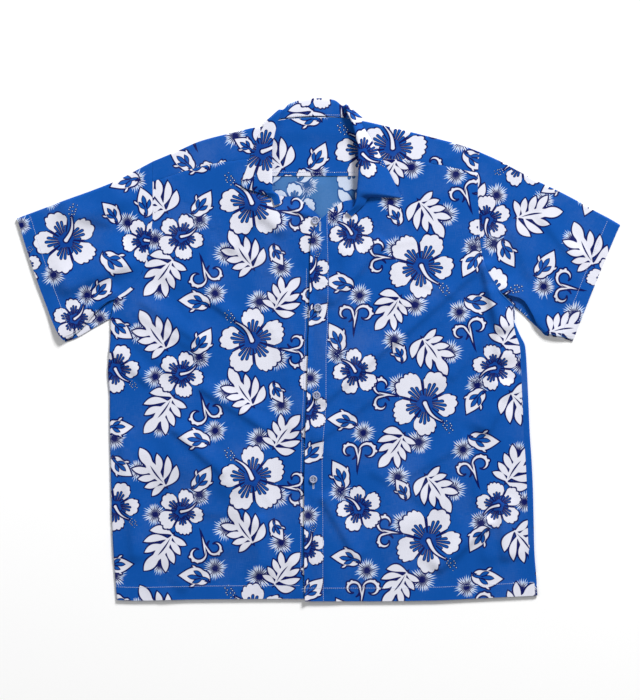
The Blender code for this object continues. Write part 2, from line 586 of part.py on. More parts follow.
def button_mesh():
    """A four-hole button: a turned profile with a raised rim and a dished middle, and four drilled holes."""
    radius, thick = BUTTON_DIAMETER / 2, BUTTON_THICK
    profile = ((0.0, thick - 0.9), (radius - 2.0, thick - 0.9), (radius - 1.4, thick - 0.1),
               (radius - 0.7, thick), (radius, thick - 0.7), (radius, 0.7), (radius - 0.8, 0.0), (0.0, 0.0))
    mesh = bpy.data.meshes.new("button_profile")
    edges = [(i, i + 1) for i in range(len(profile) - 1)]
    mesh.from_pydata([(r * MM, 0.0, z * MM) for r, z in profile], edges, [])
    blank = bpy.data.objects.new("button_blank", mesh)
    bpy.data.collections["cutters"].objects.link(blank)
    screw = blank.modifiers.new("turn", "SCREW")
    screw.steps = screw.render_steps = 18
    screw.use_merge_vertices = True
    screw.merge_threshold = 0.00001
    for i in range(4):
        angle = math.pi / 4 + i * math.pi / 2
        bpy.ops.mesh.primitive_cylinder_add(vertices=6, radius=BUTTON_HOLE / 2 * MM, depth=4 * thick * MM)
        cutter = bpy.context.object
        cutter.name = f"button_hole_{i + 1}"
        cutter.location = (BUTTON_HOLE_SPACING / 2 ** 0.5 * math.cos(angle) * MM,
                           BUTTON_HOLE_SPACING / 2 ** 0.5 * math.sin(angle) * MM, 0.0)
        cutter.hide_render = True
        cutter.display_type = "WIRE"
        for collection in list(cutter.users_collection):
            collection.objects.unlink(cutter)
        bpy.data.collections["cutters"].objects.link(cutter)
        cut = blank.modifiers.new(cutter.name, "BOOLEAN")
        cut.operation = "DIFFERENCE"
        cut.object = cutter
    bpy.context.view_layer.update()
    graph = bpy.context.evaluated_depsgraph_get()
    made = bpy.data.meshes.new_from_object(blank.evaluated_get(graph))
    made.name = "button"
    for cutter in [blank] + [bpy.data.objects[f"button_hole_{i + 1}"] for i in range(4)]:
        bpy.data.objects.remove(cutter)
    return made


def add_buttons(shell):
    """The buttons, each resting just above the highest point of the cloth under it."""
    mesh = button_mesh()
    mesh.materials.append(shell)
    ring = np.linspace(0, 2 * math.pi, 24, endpoint=False)
    for number, (x, y) in enumerate(BUTTONS):
        rim = [(x + BUTTON_DIAMETER / 2 * math.cos(a), y + BUTTON_DIAMETER / 2 * math.sin(a)) for a in ring]
        cloth = max(float(front_height(px, py)) for px, py in [(x, y), *rim])
        surface = cloth + (WALL / 2 if number == 0 else ON_PANEL + BAND_WALL / 2)
        button = bpy.data.objects.new(f"button_{number + 1}", mesh)
        button.location = (x * MM, y * MM, (surface + GAP) * MM)
        bpy.data.collections["hawaiian_shirt"].objects.link(button)


def main():
    for thing in list(bpy.data.objects):
        bpy.data.objects.remove(thing)
    for name in ("hawaiian_shirt", "cutters"):
        bpy.context.scene.collection.children.link(bpy.data.collections.new(name))
    print_blue = (0.02, 0.10, 0.44)
    wall_object("back", back_grid(), WALL, material("back_cloth", print_blue, 0.7))
    wall_object("front_right", front_right_grid(), WALL, material("front_right_cloth", print_blue, 0.7))
    wall_object("front_left", front_left_grid(), WALL, material("front_left_cloth", print_blue, 0.7))
    wall_object("placket", placket_grid(), BAND_WALL, material("placket_cloth", print_blue, 0.7))
    wall_object("yoke", yoke_grid(), WALL, material("yoke_cloth", print_blue, 0.7))
    wall_object("yoke_inner", yoke_inner_grid(), WALL, material("yoke_inner_cloth", print_blue, 0.7))
    wall_object("sleeve_right", sleeve_grid(-1.0, ARMHOLE_RIGHT, FRONT_LEVELS_RIGHT, BACK_LEVELS_RIGHT,
                                            SLEEVE_TOP_RIGHT, CUFF_RIGHT, UNDERARM_RIGHT, TUCK_EDGE_RIGHT),
                WALL, material("sleeve_right_cloth", print_blue, 0.7))
    wall_object("sleeve_left", sleeve_grid(1.0, ARMHOLE_LEFT, FRONT_LEVELS_LEFT, BACK_LEVELS_LEFT,
                                           SLEEVE_TOP_LEFT, CUFF_LEFT, UNDERARM_LEFT, TUCK_EDGE_LEFT),
                WALL, material("sleeve_left_cloth", print_blue, 0.7))
    wall_object("collar", collar_grid(), COLLAR_WALL, material("collar_cloth", print_blue, 0.7))
    add_buttons(material("button_shell", (0.45, 0.42, 0.45), 0.3))


main()
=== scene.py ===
# %% [markdown]
# A Hawaiian shirt laid flat: the fixed frame
#
# The shirt lies on its back on a pale floor. Its solids come in as a fixed frame, and every piece of cloth here is
# a thin shell on the form of its solid: the same outlines, layers and folds, at a finer grid.

import math

import bpy
import numpy as np
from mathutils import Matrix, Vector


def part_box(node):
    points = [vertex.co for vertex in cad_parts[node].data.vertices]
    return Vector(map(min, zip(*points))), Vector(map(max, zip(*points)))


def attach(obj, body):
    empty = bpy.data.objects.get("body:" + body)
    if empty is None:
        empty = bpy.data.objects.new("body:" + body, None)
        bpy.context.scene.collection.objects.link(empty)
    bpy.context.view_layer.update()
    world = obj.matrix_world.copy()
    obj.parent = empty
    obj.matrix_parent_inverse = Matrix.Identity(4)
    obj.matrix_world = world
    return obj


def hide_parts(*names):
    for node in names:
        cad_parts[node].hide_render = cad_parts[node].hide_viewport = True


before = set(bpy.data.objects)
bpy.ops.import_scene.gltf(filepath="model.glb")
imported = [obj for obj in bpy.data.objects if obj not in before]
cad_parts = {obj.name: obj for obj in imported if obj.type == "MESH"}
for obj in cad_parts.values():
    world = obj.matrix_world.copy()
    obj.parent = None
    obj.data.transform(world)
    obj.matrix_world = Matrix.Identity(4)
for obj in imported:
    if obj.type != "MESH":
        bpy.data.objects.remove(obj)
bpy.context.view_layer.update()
MM = 0.001
scene = bpy.context.scene
print("nodes in the frame:", len(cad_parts))


def new_object(name, data):
    """An object with the given data, linked into the scene at the origin."""
    made = bpy.data.objects.new(name, data)
    scene.collection.objects.link(made)
    return made


# %% [markdown]
# Camera
#
# A garment laid flat is pictured from straight above. A long lens far away keeps the outline free of perspective,
# as a copy stand does. The view is 640 by 700 cells of 1.55 mm, with the shirt's middle a little left of centre.

# %% Camera straight above
CELL = 1.55  # millimetres
VIEW_HIGH = 700 * CELL * MM
CAMERA_HEIGHT = 6.0
SENSOR = 36.0
camera = new_object("camera", bpy.data.cameras.new("camera"))
camera.location = (1.5 * CELL * MM, -0.5 * CELL * MM, CAMERA_HEIGHT)
camera.data.sensor_width = SENSOR
camera.data.lens = SENSOR * CAMERA_HEIGHT / VIEW_HIGH
camera.data.clip_end = 50.0
scene.camera = camera
print("lens in mm:", round(camera.data.lens, 1))

# %% [markdown]
# Floor and light
#
# The floor is plain and pale. One wide soft light stands low at the upper right and a weaker one at the left, so
# that low folds get a lit side and a shaded side, and a bright sky fills the shadows as white walls would.

# %% Floor, sky and two soft lights
FLOOR_HALF = 4.0
FLOOR_DROP = 0.3 * MM  # just below the back, so that the two faces never flicker


def new_finish(name):
    """A material with nodes, its tree and its shader."""
    made = bpy.data.materials.new(name)
    made.use_nodes = True
    return made, made.node_tree, made.node_tree.nodes["Principled BSDF"]


floor_mesh = bpy.data.meshes.new("floor")
floor_corners = [(x * FLOOR_HALF, y * FLOOR_HALF, 0) for x, y in ((-1, -1), (1, -1), (1, 1), (-1, 1))]
floor_mesh.from_pydata(floor_corners, [], [(0, 1, 2, 3)])
floor = new_object("floor", floor_mesh)
floor.location.z = -FLOOR_DROP
floor_paint, _, floor_shader = new_finish("floor_paint")
floor_shader.inputs["Base Color"].default_value = (0.99, 0.99, 0.99, 1.0)
floor_shader.inputs["Roughness"].default_value = 0.9
floor_mesh.materials.append(floor_paint)

sky = bpy.data.worlds.new("sky")
sky.use_nodes = True
sky.node_tree.nodes["Background"].inputs["Color"].default_value = (1.0, 1.0, 1.0, 1.0)
sky.node_tree.nodes["Background"].inputs["Strength"].default_value = 0.27
scene.world = sky


def soft_light(name, place, size, power):
    """A square area light of the given size that faces the shirt's middle."""
    light = new_object(name, bpy.data.lights.new(name, "AREA"))
    light.data.size = size
    light.data.energy = power
    light.location = place
    light.rotation_euler = (-light.location).to_track_quat("-Z", "Y").to_euler()


soft_light("window", (2.4, 4.6, 3.3), 1.5, 505.0)
soft_light("fill", (-2.4, 0.4, 2.6), 1.8, 22.0)
scene.view_settings.view_transform = "Standard"
print("floor:", 2 * FLOOR_HALF, "m wide, sky and 2 lights")

# %% [markdown]
# Outlines
#
# The tables below give the edges of the cut pieces as they lie, in millimetres: x to the right, y towards the
# collar. The wearer's right side lies at -x. They are the same edges that the solids have.

# %% Sides, armholes and neck
# Columns: x, y. The lines run upwards.
SIDE_RIGHT = ((-312, -388), (-315, -350), (-318, -305), (-320, -258), (-321, -212), (-322, -165),
              (-323, -120), (-323, -75), (-326, -32), (-323, 4), (-322, 24), (-322, 38), (-322, 48))
SIDE_LEFT = ((339, -381), (337, -350), (334, -310), (333, -265), (332, -220), (330, -175),
             (327, -130), (325, -85), (323, -40), (320, 4), (311, 24), (303, 46), (302, 68))
ARMHOLE_RIGHT = ((-322, 48), (-319, 63), (-315, 78), (-298, 91), (-283, 105), (-272, 123), (-264, 151),
                 (-260, 179), (-257, 207), (-257, 233), (-257, 260), (-257, 291))
ARMHOLE_LEFT = ((302, 68), (292, 78), (282, 88), (272, 105), (261, 123), (253, 151), (250, 176),
                (249, 207), (247, 241), (247, 274), (249, 306))
# The heights at which an armhole is given a grid line.
FRONT_LEVELS_RIGHT = (48, 63, 78, 97, 118, 142, 166, 190, 214, 237, 260)
FRONT_LEVELS_LEFT = (68, 78, 88, 104, 124, 148, 173, 198, 224, 249, 274)
NECK_RIGHT = ((9, 49), (9, 95), (9, 140), (8, 180), (3, 203), (-16, 221), (-36, 236), (-61, 238),
              (-77, 249), (-85, 275), (-89, 298))
NECK_LEFT = ((15, 49), (16, 90), (16, 128), (15, 170), (14, 211), (27, 222), (41, 230), (58, 233),
             (71, 249), (80, 275), (81, 297))
print("a side has", len(SIDE_RIGHT), "marks, an armhole", len(ARMHOLE_RIGHT))

# %% Placket band
# Columns: y, x of the band's seam, x of its free edge.
PLACKET = ((-390, 9, -21), (-345, 8, -22), (-300, 8, -22), (-255, 8, -22), (-210, 7, -22), (-165, 7, -21),
           (-120, 10, -20), (-75, 13, -18), (-30, 13, -17), (-4, 13, -16), (16, 14, -16), (34, 15, -15),
           (49, 15, -15), (90, 16, -13.5), (128, 16, -13), (170, 15, -11.5), (211, 14, 3))
PLACKET_EDGE_TOP = 201.5
UNDERLAP_X = 9.0
print("the band is", PLACKET[4][1] - PLACKET[4][2], "mm wide")

# %% Yoke seams, shoulders and hem
# Columns: x, y. A shoulder and a front yoke seam run towards the neck, the others towards +x.
YOKE_SEAM_RIGHT = ((-257, 260), (-219, 273), (-162, 288), (-108, 296), (-89, 298))
YOKE_SEAM_LEFT = ((247, 274), (230, 277), (190, 286), (159, 291), (126, 294), (81, 297))
SHOULDER_RIGHT = ((-257, 291), (-219, 307), (-182, 323), (-123, 338), (-102, 343), (-77, 346))
SHOULDER_LEFT = ((249, 306), (225, 315), (193, 324), (133, 339), (97, 347.5), (72, 353), (56, 355.5))
NECK_BACK = ((-77, 346), (-60, 356), (-29, 359), (0, 360), (24, 360), (42, 359), (56, 355.5))
BACK_SEAM_Y = 269.0
HEM_RIGHT = ((-312, -388), (-280, -389), (-184, -387), (-22, -386), (9, -386))
HEM_LEFT = ((9, -390), (75, -390), (173, -389), (238, -386), (320, -382), (339, -381))
print("the hem is", HEM_LEFT[-1][0] - HEM_RIGHT[0][0], "mm wide")

# %% Sleeve edges
# Columns: x, y. A top, an underarm and a tuck run out from the armhole, a cuff runs upwards.
SLEEVE_TOP_RIGHT = ((-257, 291), (-283, 277), (-311, 262), (-351, 246), (-394, 230.5), (-436, 214.5),
                    (-467, 203))
SLEEVE_TOP_LEFT = ((249, 306), (278, 293), (308, 277), (336, 262), (370, 246), (399, 231), (427, 215),
                   (450, 203), (467, 193))
CUFF_RIGHT = ((-393, 12), (-403, 24), (-425, 77), (-447, 139), (-467, 203))
CUFF_LEFT = ((394, 13), (419, 77), (444, 139), (467, 193))
UNDERARM_RIGHT = ((-323, 48), (-348, 34), (-374, 19), (-393, 12))
UNDERARM_LEFT = ((303.3, 68), (317, 56), (330, 43), (344, 30), (352, 22), (372, 19), (394, 13))
TUCK_EDGE_RIGHT = ((-315, 78), (-326, 74), (-350, 55), (-363, 40), (-382, 24), (-397, 18))
TUCK_EDGE_LEFT = ((282, 88), (295, 84), (319, 76), (333, 56), (343, 35), (353, 27), (372, 23), (396, 19))
print("the cuffs lie", CUFF_LEFT[-1][0] - CUFF_RIGHT[-1][0], "mm apart at the top")

# %% Collar table
# Columns: edge of the roll, edge of the fall and seam to the neck, each x and y, then how the collar leans (1 where
# its fall lies on top, -1 where it lies underneath) and how high its roll stands.
COLLAR = (
    ((-59, 226), (-68, 223), (-64, 228), 1, 1.5),
    ((-62, 238), (-73, 235), (-67, 237), 1, 2.5),
    ((-72, 248), (-119, 255), (-78, 247), 1, 3.5),
    ((-72, 275), (-111, 281), (-84, 275), 1, 4.0),
    ((-72, 309), (-102, 309), (-88, 309), 1, 4.0),
    ((-66, 343), (-93, 331), (-83, 333), 1, 4.0),
    ((-58, 369), (-85, 347), (-75, 342), 1, 3.5),
    ((-60, 371), (-87, 349), (-78, 350), 0, 2.2),
    ((-56, 371), (-84, 346), (-70, 352), -1, 1.6),
    ((-44, 381), (-60, 346), (-58, 358), -1, 1.6),
    ((-22, 387), (-29, 346), (-29, 361), -1, 1.6),
    ((2, 389), (0, 346), (0, 362), -1, 1.6),
    ((24, 386), (28, 347), (24, 361), -1, 1.6),
    ((38, 377), (63, 354), (46, 359), -1, 1.6),
    ((42, 379), (69, 358), (60, 359), 0, 2.2),
    ((42, 375), (67, 353), (60, 351), 1, 4.5),
    ((53, 348), (81, 326), (71, 335), 1, 6.0),
    ((61, 309), (97, 298), (80, 309), 1, 7.0),
    ((62, 275), (114, 266), (81, 275), 1, 7.5),
    ((60, 249), (129, 235), (72, 248), 1, 7.5),
    ((59, 236), (80, 236), (62, 234), 1, 6.0),
    ((56, 223), (70, 224), (57, 225), 1, 4.5),
    ((44, 212), (51, 206), (47, 212), 1, 2.0),
)
print("the collar has", len(COLLAR), "sections")

# %% [markdown]
# Smooth lines through a few points
#
# A cutter draws a neckline through a few marks with a French curve. The same is done here with a monotone cubic,
# which passes through each mark and never swings out beyond it. A panel is then a Coons patch: a sheet whose four
# edges are given and whose inside blends between them.

# %% Flowing lines
def flowing(rows, per):
    """The rows joined by a monotone cubic, with per steps between each two rows.

    Each inner slope is the harmonic mean 2 a b / (a + b) of its two neighbours, and 0 where they disagree.
    """
    values = np.asarray(rows, float)
    step = np.maximum(np.linalg.norm(np.diff(values, axis=0), axis=1), 1e-6)
    slope = np.diff(values, axis=0) / step[:, None]
    before, after = slope[:-1], slope[1:]
    agree = before * after > 0
    inner = np.where(agree, 2 * before * after / np.where(agree, before + after, 1.0), 0.0)
    tangent = np.vstack([slope[:1], inner, slope[-1:]])
    share = np.arange(per) / per
    place = np.concatenate([np.add.outer(np.arange(len(step)), share).ravel(), [len(step) - 1e-9]])
    part = place.astype(int)
    u = (place - part)[:, None]
    width = step[part][:, None]
    return ((1 + 2 * u) * (1 - u) ** 2 * values[part] + u * (1 - u) ** 2 * width * tangent[part]
            + u * u * (3 - 2 * u) * values[part + 1] + u * u * (u - 1) * width * tangent[part + 1])


def lengths(line):
    """Distance along a line of points, from its first point."""
    return np.concatenate([[0.0], np.cumsum(np.linalg.norm(np.diff(line, axis=0), axis=1))])


def along(rows, shares):
    """Points at the given shares of a curve's length."""
    line = flowing(rows, 24)
    reach = lengths(line)
    wanted = np.asarray(shares) * reach[-1]
    return np.stack([np.interp(wanted, reach, line[:, k]) for k in range(line.shape[1])], axis=1)


def at_heights(rows, heights):
    """Points of a curve that climbs in y, at the given heights."""
    line = flowing(rows, 24)
    heights = np.asarray(heights, float)
    return np.stack([np.interp(heights, line[:, 1], line[:, 0]), heights], axis=1)


print("a neck edge has", len(flowing(NECK_LEFT, 12)), "points")


# %% Steps and patches
def evenly(count):
    """Shares from 0 to 1, at even steps."""
    return np.linspace(0.0, 1.0, count)


def denser(values, per):
    """The values with per steps between each two, in straight lines."""
    values = np.asarray(values, float)
    return np.interp(np.arange((len(values) - 1) * per + 1) / per, np.arange(len(values)), values)


def patch(left, right, lower, upper, shares=None):
    """Coons patch: (1-s) L + s R + (1-t) B + t T, less the same blend of the four corners."""
    t = (evenly(len(left)) if shares is None else np.asarray(shares))[:, None, None]
    s = evenly(len(lower))[None, :, None]
    across = (1 - s) * left[:, None] + s * right[:, None]
    upward = (1 - t) * lower[None] + t * upper[None]
    four = (1 - t) * ((1 - s) * left[0] + s * right[0]) + t * ((1 - s) * left[-1] + s * right[-1])
    return across + upward - four


def ease(low, high, value):
    """0 below low, 1 above high, and 3 t^2 - 2 t^3 between."""
    t = np.clip((value - low) / (high - low), 0.0, 1.0)
    return t * t * (3 - 2 * t)


print("halfway, ease gives", float(ease(0.0, 1.0, 0.5)))

# %% [markdown]
# How high each layer lies
#
# The back lies on the floor, and the fronts lie on the back with the thickness of the side folds between them.
# Main folds are ridges: a bump across, fading at both ends. They are placed in the shirt's own sizes, as
# soft drag lines out of the underarms and shallow waves beside the placket and above the hem.

# %% Layers
GROUND = 0.5  # middle of the cloth that lies on the floor
FOLD_RADIUS = 1.6  # of the turn at a side
INSET = 3.5  # where the turned strip meets the flat cloth
SIDE_WRAP = 10.0  # how far the back comes round the side
WRAP_TAPER = 70.0  # and the height in which it runs out below the armhole
FALL_RISE = 1.9  # the back over the collar's fall, which lies under it
FALL_REACH = (-92.0, 70.0, 340.0)  # its left, right and lower limits
FALL_BLEND = 26.0
NECK_LOFT = (-5.0, 300.0, 115.0, 2.3)  # x, y, radius and height of the rise round the neck
PLACKET_STEP = (17.0, 46.0, 0.8)  # from x, to x, height of the rise beside the placket
print("the fronts lie", GROUND + 2 * FOLD_RADIUS, "mm up")

# %% Main folds
# Columns: one end x, y, other end x, y, height, half width.
FOLDS = (
    (-316, 92, -410, 7, 4.5, 15),
    (284, 104, 372, 8, 4.0, 14),
    (-286, 62, -170, -10, 2.4, 17),
    (-290, 20, -215, -45, 1.8, 14),
    (-250, 120, -150, 90, 1.8, 20),
    (-112, 232, -50, 180, 4.2, 17),
    (262, 96, 284, -20, 3.2, 13),
    (240, 60, 190, -60, 2.0, 18),
    (292, -90, 268, -250, 2.6, 18),
    (240, -180, 262, -330, 2.0, 16),
    (150, -250, 60, -370, 1.6, 22),
    (40, 160, 52, -80, 1.8, 15),
    (-60, 110, -38, -130, 1.5, 16),
    (-150, -200, -70, -350, 1.8, 22),
    (-262, -150, -292, -330, 2.0, 18),
    (-302, 168, -330, 96, 2.4, 16),
    (-372, 196, -402, 90, 1.6, 18),
    (-398, 196, -292, 240, 5.0, 30),
    (-265, -165, -95, -205, 5.5, 55),
    (300, 190, 330, 110, 2.2, 17),
    (392, 170, 384, 70, 1.6, 16),
)
print("the highest main fold stands", max(row[4] for row in FOLDS), "mm up")

# %% Creases
# Narrow ones, in the same columns: they fan out from the buttons towards the underarms, where the cloth is drawn.
DRAG_LINES = (
    (-174, 80, -103, 27, 2.4, 9),
    (-184, -58, -77, -126, 3.0, 10),
    (-226, -122, -145, -195, 3.2, 10),
    (-323, -1, -258, -57, 2.6, 11),
    (-88, -257, -94, -348, 2.6, 9),
    (18, 71, 103, 168, 3.0, 11),
    (4, -84, 126, 21, 2.8, 10),
    (114, 9, 247, 126, 3.0, 11),
    (-9, -146, 102, -61, 2.4, 10),
    (258, -131, 295, -52, 6.0, 13),
    (182, -343, 270, -264, 5.0, 13),
    (5, -226, 61, -325, 3.2, 10),
    (253, 136, 283, 27, 5.4, 11),
    (-277, 77, -176, 7, 2.2, 12),
    (-306, -125, -284, -326, 2.2, 12),
    (80, -187, 173, -241, 1.6, 11),
    (-145, -295, -215, -373, 2.4, 14),
    (204, -47, 266, 30, 1.8, 11),
    (126, -202, 235, -140, 1.8, 10),
    (-137, 154, -88, 208, 2.0, 11),
    (-401, 213, -320, 195, 2.4, 12),
    (-400, 92, -286, 136, 6.2, 20),
    (343, 208, 398, 139, 1.8, 11),
    (374, 77, 413, 154, 1.8, 10),
    (289, -326, 281, -233, 3.6, 12),
    (-44, 218, -14, 207, 2.6, 6),
    (-240, -330, -110, -300, 2.6, 26),
    (-225, -238, -120, -262, 1.8, 18),
)


def small_folds(count, seed):
    """Shallow creases with seeded places: on average 75 mm long, 8 mm wide and 0.5 mm high."""
    chance = np.random.default_rng(seed)
    x, y = chance.uniform(-330, 330, count), chance.uniform(-380, 280, count)
    lean = np.radians(np.where(x < 0, -50, 50) + chance.normal(0, 28, count))
    long = chance.uniform(35, 115, count)
    rows = [x, y, x + np.cos(lean) * long, y + np.sin(lean) * long,
            chance.uniform(0.2, 0.7, count), chance.uniform(4.5, 11, count)]
    return [tuple(map(float, row)) for row in np.stack(rows, axis=1)]


CREASES = FOLDS + DRAG_LINES + tuple(small_folds(90, 8))
print("folds:", len(FOLDS), "main ones and", len(CREASES) - len(FOLDS), "creases")

# %% Height of each layer
FADE_OUT, FADE_IN = 0.6, 0.8
ABOVE_RIDGE, BELOW_RIDGE = 1.7, 0.6
BACK_FOLD = ((6, 262, 3, 150, 2.2, 6),)  # one soft fold below the back seam


def fold_height(x, y, folds):
    """Sum over the folds of height * exp(-(distance / w)^2) * fade at the two ends.

    The cloth slides down towards the hem, so w is 1.7 half widths above the ridge and 0.6 below it. A ridge fades
    from 0.6 half widths outside each end to 0.8 inside it.
    """
    total = np.zeros(np.broadcast(x, y).shape)
    for x0, y0, x1, y1, height, width in folds:
        length = math.hypot(x1 - x0, y1 - y0)
        ux, uy = (x1 - x0) / length, (y1 - y0) / length
        run = (x - x0) * ux + (y - y0) * uy
        off = ((x - x0) * -uy + (y - y0) * ux) * (1 if ux >= 0 else -1)
        ends = [ease(-FADE_OUT * width, FADE_IN * width, inside) for inside in (run, length - run)]
        w = width * np.where(off > 0, ABOVE_RIDGE, BELOW_RIDGE)
        total = total + height * np.exp(-((off / w) ** 2)) * (ends[0] * ends[1])
    return total


def back_height(x, y):
    """Middle of the lower layer: on the floor, raised over the collar's fall, and its fold."""
    left, right, lower = FALL_REACH
    over = (ease(left - FALL_BLEND, left, x) * ease(-right - FALL_BLEND, -right, -x)
            * ease(lower - FALL_BLEND, lower, y))
    return GROUND + FALL_RISE * over + fold_height(x, y, BACK_FOLD)


def front_height(x, y):
    """Middle of the upper layer: two fold radii above the ground, higher round the neck, and the folds."""
    loft_x, loft_y, radius, loft = NECK_LOFT
    away = np.hypot(x - loft_x, y - loft_y)
    return (GROUND + 2 * FOLD_RADIUS + loft * (1 - ease(radius, 1.8 * radius, away))
            + fold_height(x, y, CREASES))


def left_front_height(x, y):
    """The wearer's left front rises to meet the placket that lies on the other front."""
    near, far, step = PLACKET_STEP
    return front_height(x, y) + step * (1 - ease(near, far, x))


def raised(plan, height):
    """A plan grid with its height as the third coordinate."""
    return np.concatenate([plan, height(plan[..., 0], plan[..., 1])[..., None]], axis=-1)


print("the middle of the left front lies", round(float(front_height(150.0, 0.0)), 2), "mm up")

# %% [markdown]
# Cloth that turns round an edge
#
# At its sides a laid shirt is a flattened tube, so the cloth turns through half a circle there. A point at the
# distance d along the cloth from the outermost line has the angle d / r, and beyond a quarter turn the cloth is
# flat again.

# %% The turn at an edge
FOLD_START = 12.0  # a side is fully folded this far below the underarm


def rolled(edge, inward, reach, upper, lower, turned=1.0):
    """Depth r (1 - cos(d / r)) and height middle - r sin(d / r), with r half the distance of the layers."""
    radius = (upper - lower)[:, None] / 2
    quarter = math.pi / 2 * radius
    angle = np.clip(reach / radius, -math.pi / 2, math.pi / 2)
    depth = radius * (1 - np.cos(angle)) + np.maximum(np.abs(reach) - quarter, 0.0)
    height = (upper + lower)[:, None] / 2 - radius * np.sin(angle)
    flat = np.where(reach < 0, upper[:, None], lower[:, None])
    turned = np.broadcast_to(np.asarray(turned, float).reshape(-1, 1), reach.shape)
    depth = turned * depth + (1 - turned) * np.abs(reach)
    height = turned * height + (1 - turned) * flat
    plan = edge[:, None] + inward[:, None] * depth[..., None]
    return np.concatenate([plan, height[..., None]], axis=-1)


def side_chain(side, armhole, levels, per):
    """The outline from hem to underarm and up the armhole, and how far each point is folded."""
    low = flowing(side, per)
    high = at_heights(armhole, denser(levels, per))[1:]
    chain = np.vstack([low, high])
    folded = ease(0.0, FOLD_START, side[-1][1] - chain[:, 1])
    return chain, folded


def side_strip(chain, folded, inward, reach):
    """The columns of cloth beside a side edge, turned round the fold below the underarm."""
    direction = np.tile([inward, 0.0], (len(chain), 1))
    x, y = chain[:, 0] + inward * INSET, chain[:, 1]
    return rolled(chain, direction, reach, front_height(x, y), back_height(x, y), folded)


def side_depth(reach, folded):
    """Plan depth of the flat cloth that begins at this reach."""
    around = FOLD_RADIUS + np.abs(reach) - math.pi / 2 * FOLD_RADIUS
    return folded * around + (1 - folded) * np.abs(reach)


print("the turn at a side takes", round(math.pi * FOLD_RADIUS, 1), "mm of cloth")

# %% [markdown]
# Seams and hems
#
# At a seam one edge runs on under the other, so it dips a little. A hem is cloth folded twice, so it stands a
# little higher than the rest. Stitching draws the cloth in, which leaves small uneven puckers along every seam.
# All three depend only on the distance from an edge of the grid and on the length along it.

# %% Dips, hems and puckers
HEM_TURNING = 0.35  # a hem's extra height


def seen_from(grid, edge):
    """The grid turned so that its first row is the given edge: first, last, left or right."""
    turned_grid = grid if edge in ("first", "last") else grid.transpose(1, 0, 2)
    return turned_grid if edge in ("first", "left") else turned_grid[::-1]


def from_edge(view):
    """Distance of every point from the first row, summed down its column."""
    steps = np.linalg.norm(np.nan_to_num(np.diff(view, axis=0)), axis=2)
    return np.vstack([np.zeros(view.shape[1]), np.cumsum(steps, axis=0)])


def dip(grid, edge, depth, reach, centre=None):
    """Lower an edge by depth * (1 - ease(distance / reach)); with a centre height, move towards that."""
    view = seen_from(grid, edge)
    fall = depth * (1 - ease(0.0, reach, from_edge(view)))
    towards = 1.0 if centre is None else np.clip((view[..., 2] - centre) / 0.8, -1, 1)
    view[..., 2] -= fall * towards
    return grid


def pucker(grid, edge, height, reach, seed, line=0.0):
    """Add height * exp(-(|distance - line| / reach)) * an uneven ripple along the edge."""
    view = seen_from(grid, edge)
    chance = np.random.default_rng(seed)
    run = lengths(np.nan_to_num(view[0]))
    ripple = sum(np.sin(run * 2 * math.pi / pitch + phase) * part for pitch, phase, part in
                 zip(chance.uniform(9, 26, 6), chance.uniform(0, 6.28, 6), chance.uniform(0.2, 0.6, 6)))
    view[..., 2] += height * np.exp(-np.abs(from_edge(view) - line) / reach) * ripple[None]
    return grid


def hemmed(grid, edge, width, seed):
    """A band of the given width that stands higher by its turning, with puckers along its stitching."""
    view = seen_from(grid, edge)
    view[..., 2] += HEM_TURNING * (1 - ease(width - 2.5, width + 1.0, from_edge(view)))
    return pucker(grid, edge, 0.16, 9.0, seed, width)


print("a hem stands", HEM_TURNING, "mm higher")

# %% [markdown]
# Fronts, back and placket
#
# Each front is a patch between its side, its hem, its centre edge and its yoke seam, with a narrow strip beside
# the side fold. The back comes 10 mm round the viewer's right side, where its seam shows. The placket is a band
# of its own, laid on the button stand.

# %% The wearer's right front
PER = 13  # grid lines between two rows of a table
ACROSS = 100  # grid lines across a front
SEAM_LAP = 1.2  # cloth that runs on under the next piece at a seam
SEAM_DIP = 0.75  # how far it sinks there
BAND_LAP = 1.6  # the same under the placket's seam
BAND_DIP = 0.5
BAND_TOP = 200.0  # where the placket's seam ends
BODY_HEM, SLEEVE_HEM = 22.0, 20.0
SIDE_SHARES = (0.2, 0.4, 0.55, 0.68, 0.8, 0.9, 1.0)


def spread(start, end, shares):
    """Distances from start to end at the given shares, one row for each grid line."""
    start, end = np.asarray(start)[:, None], np.asarray(end)[:, None]
    return start + (end - start) * np.asarray(shares)[None]


def front_right_grid():
    """Patch from the side fold to the edge of the button stand and the neck."""
    chain, folded = side_chain(SIDE_RIGHT, ARMHOLE_RIGHT, FRONT_LEVELS_RIGHT, PER)
    centre_y = np.linspace(HEM_RIGHT[-1][1], NECK_RIGHT[0][1], len(SIDE_RIGHT))[:-1]
    centre = flowing(np.vstack([np.stack([np.full(len(centre_y), UNDERLAP_X), centre_y], axis=1),
                                NECK_RIGHT]), PER)
    end = np.zeros(len(chain))
    start = end - INSET
    inner = chain + [[1.0, 0.0]] * side_depth(start, folded)[:, None]
    hem = along(HEM_RIGHT, evenly(ACROSS))
    hem[0], hem[-1] = inner[0], centre[0]
    seam = along(YOKE_SEAM_RIGHT, evenly(ACROSS)) + [0.0, SEAM_LAP]
    centre[-1] += [0.0, SEAM_LAP]
    inner[-1] = seam[0] = seam[0] + [INSET, 0]
    seam[-1] = centre[-1]
    main = raised(patch(inner, centre, hem, seam), front_height)
    strip = side_strip(chain, folded, 1.0, spread(start, end, SIDE_SHARES))[:, ::-1]
    strip[-1, :, 1] += SEAM_LAP
    grid = np.concatenate([strip, main], axis=1)
    return pucker(dip(hemmed(grid, "first", BODY_HEM, 1), "last", SEAM_DIP, 4.0), "last", 0.14, 10.0, 2)


print("right front grid:", front_right_grid().shape)


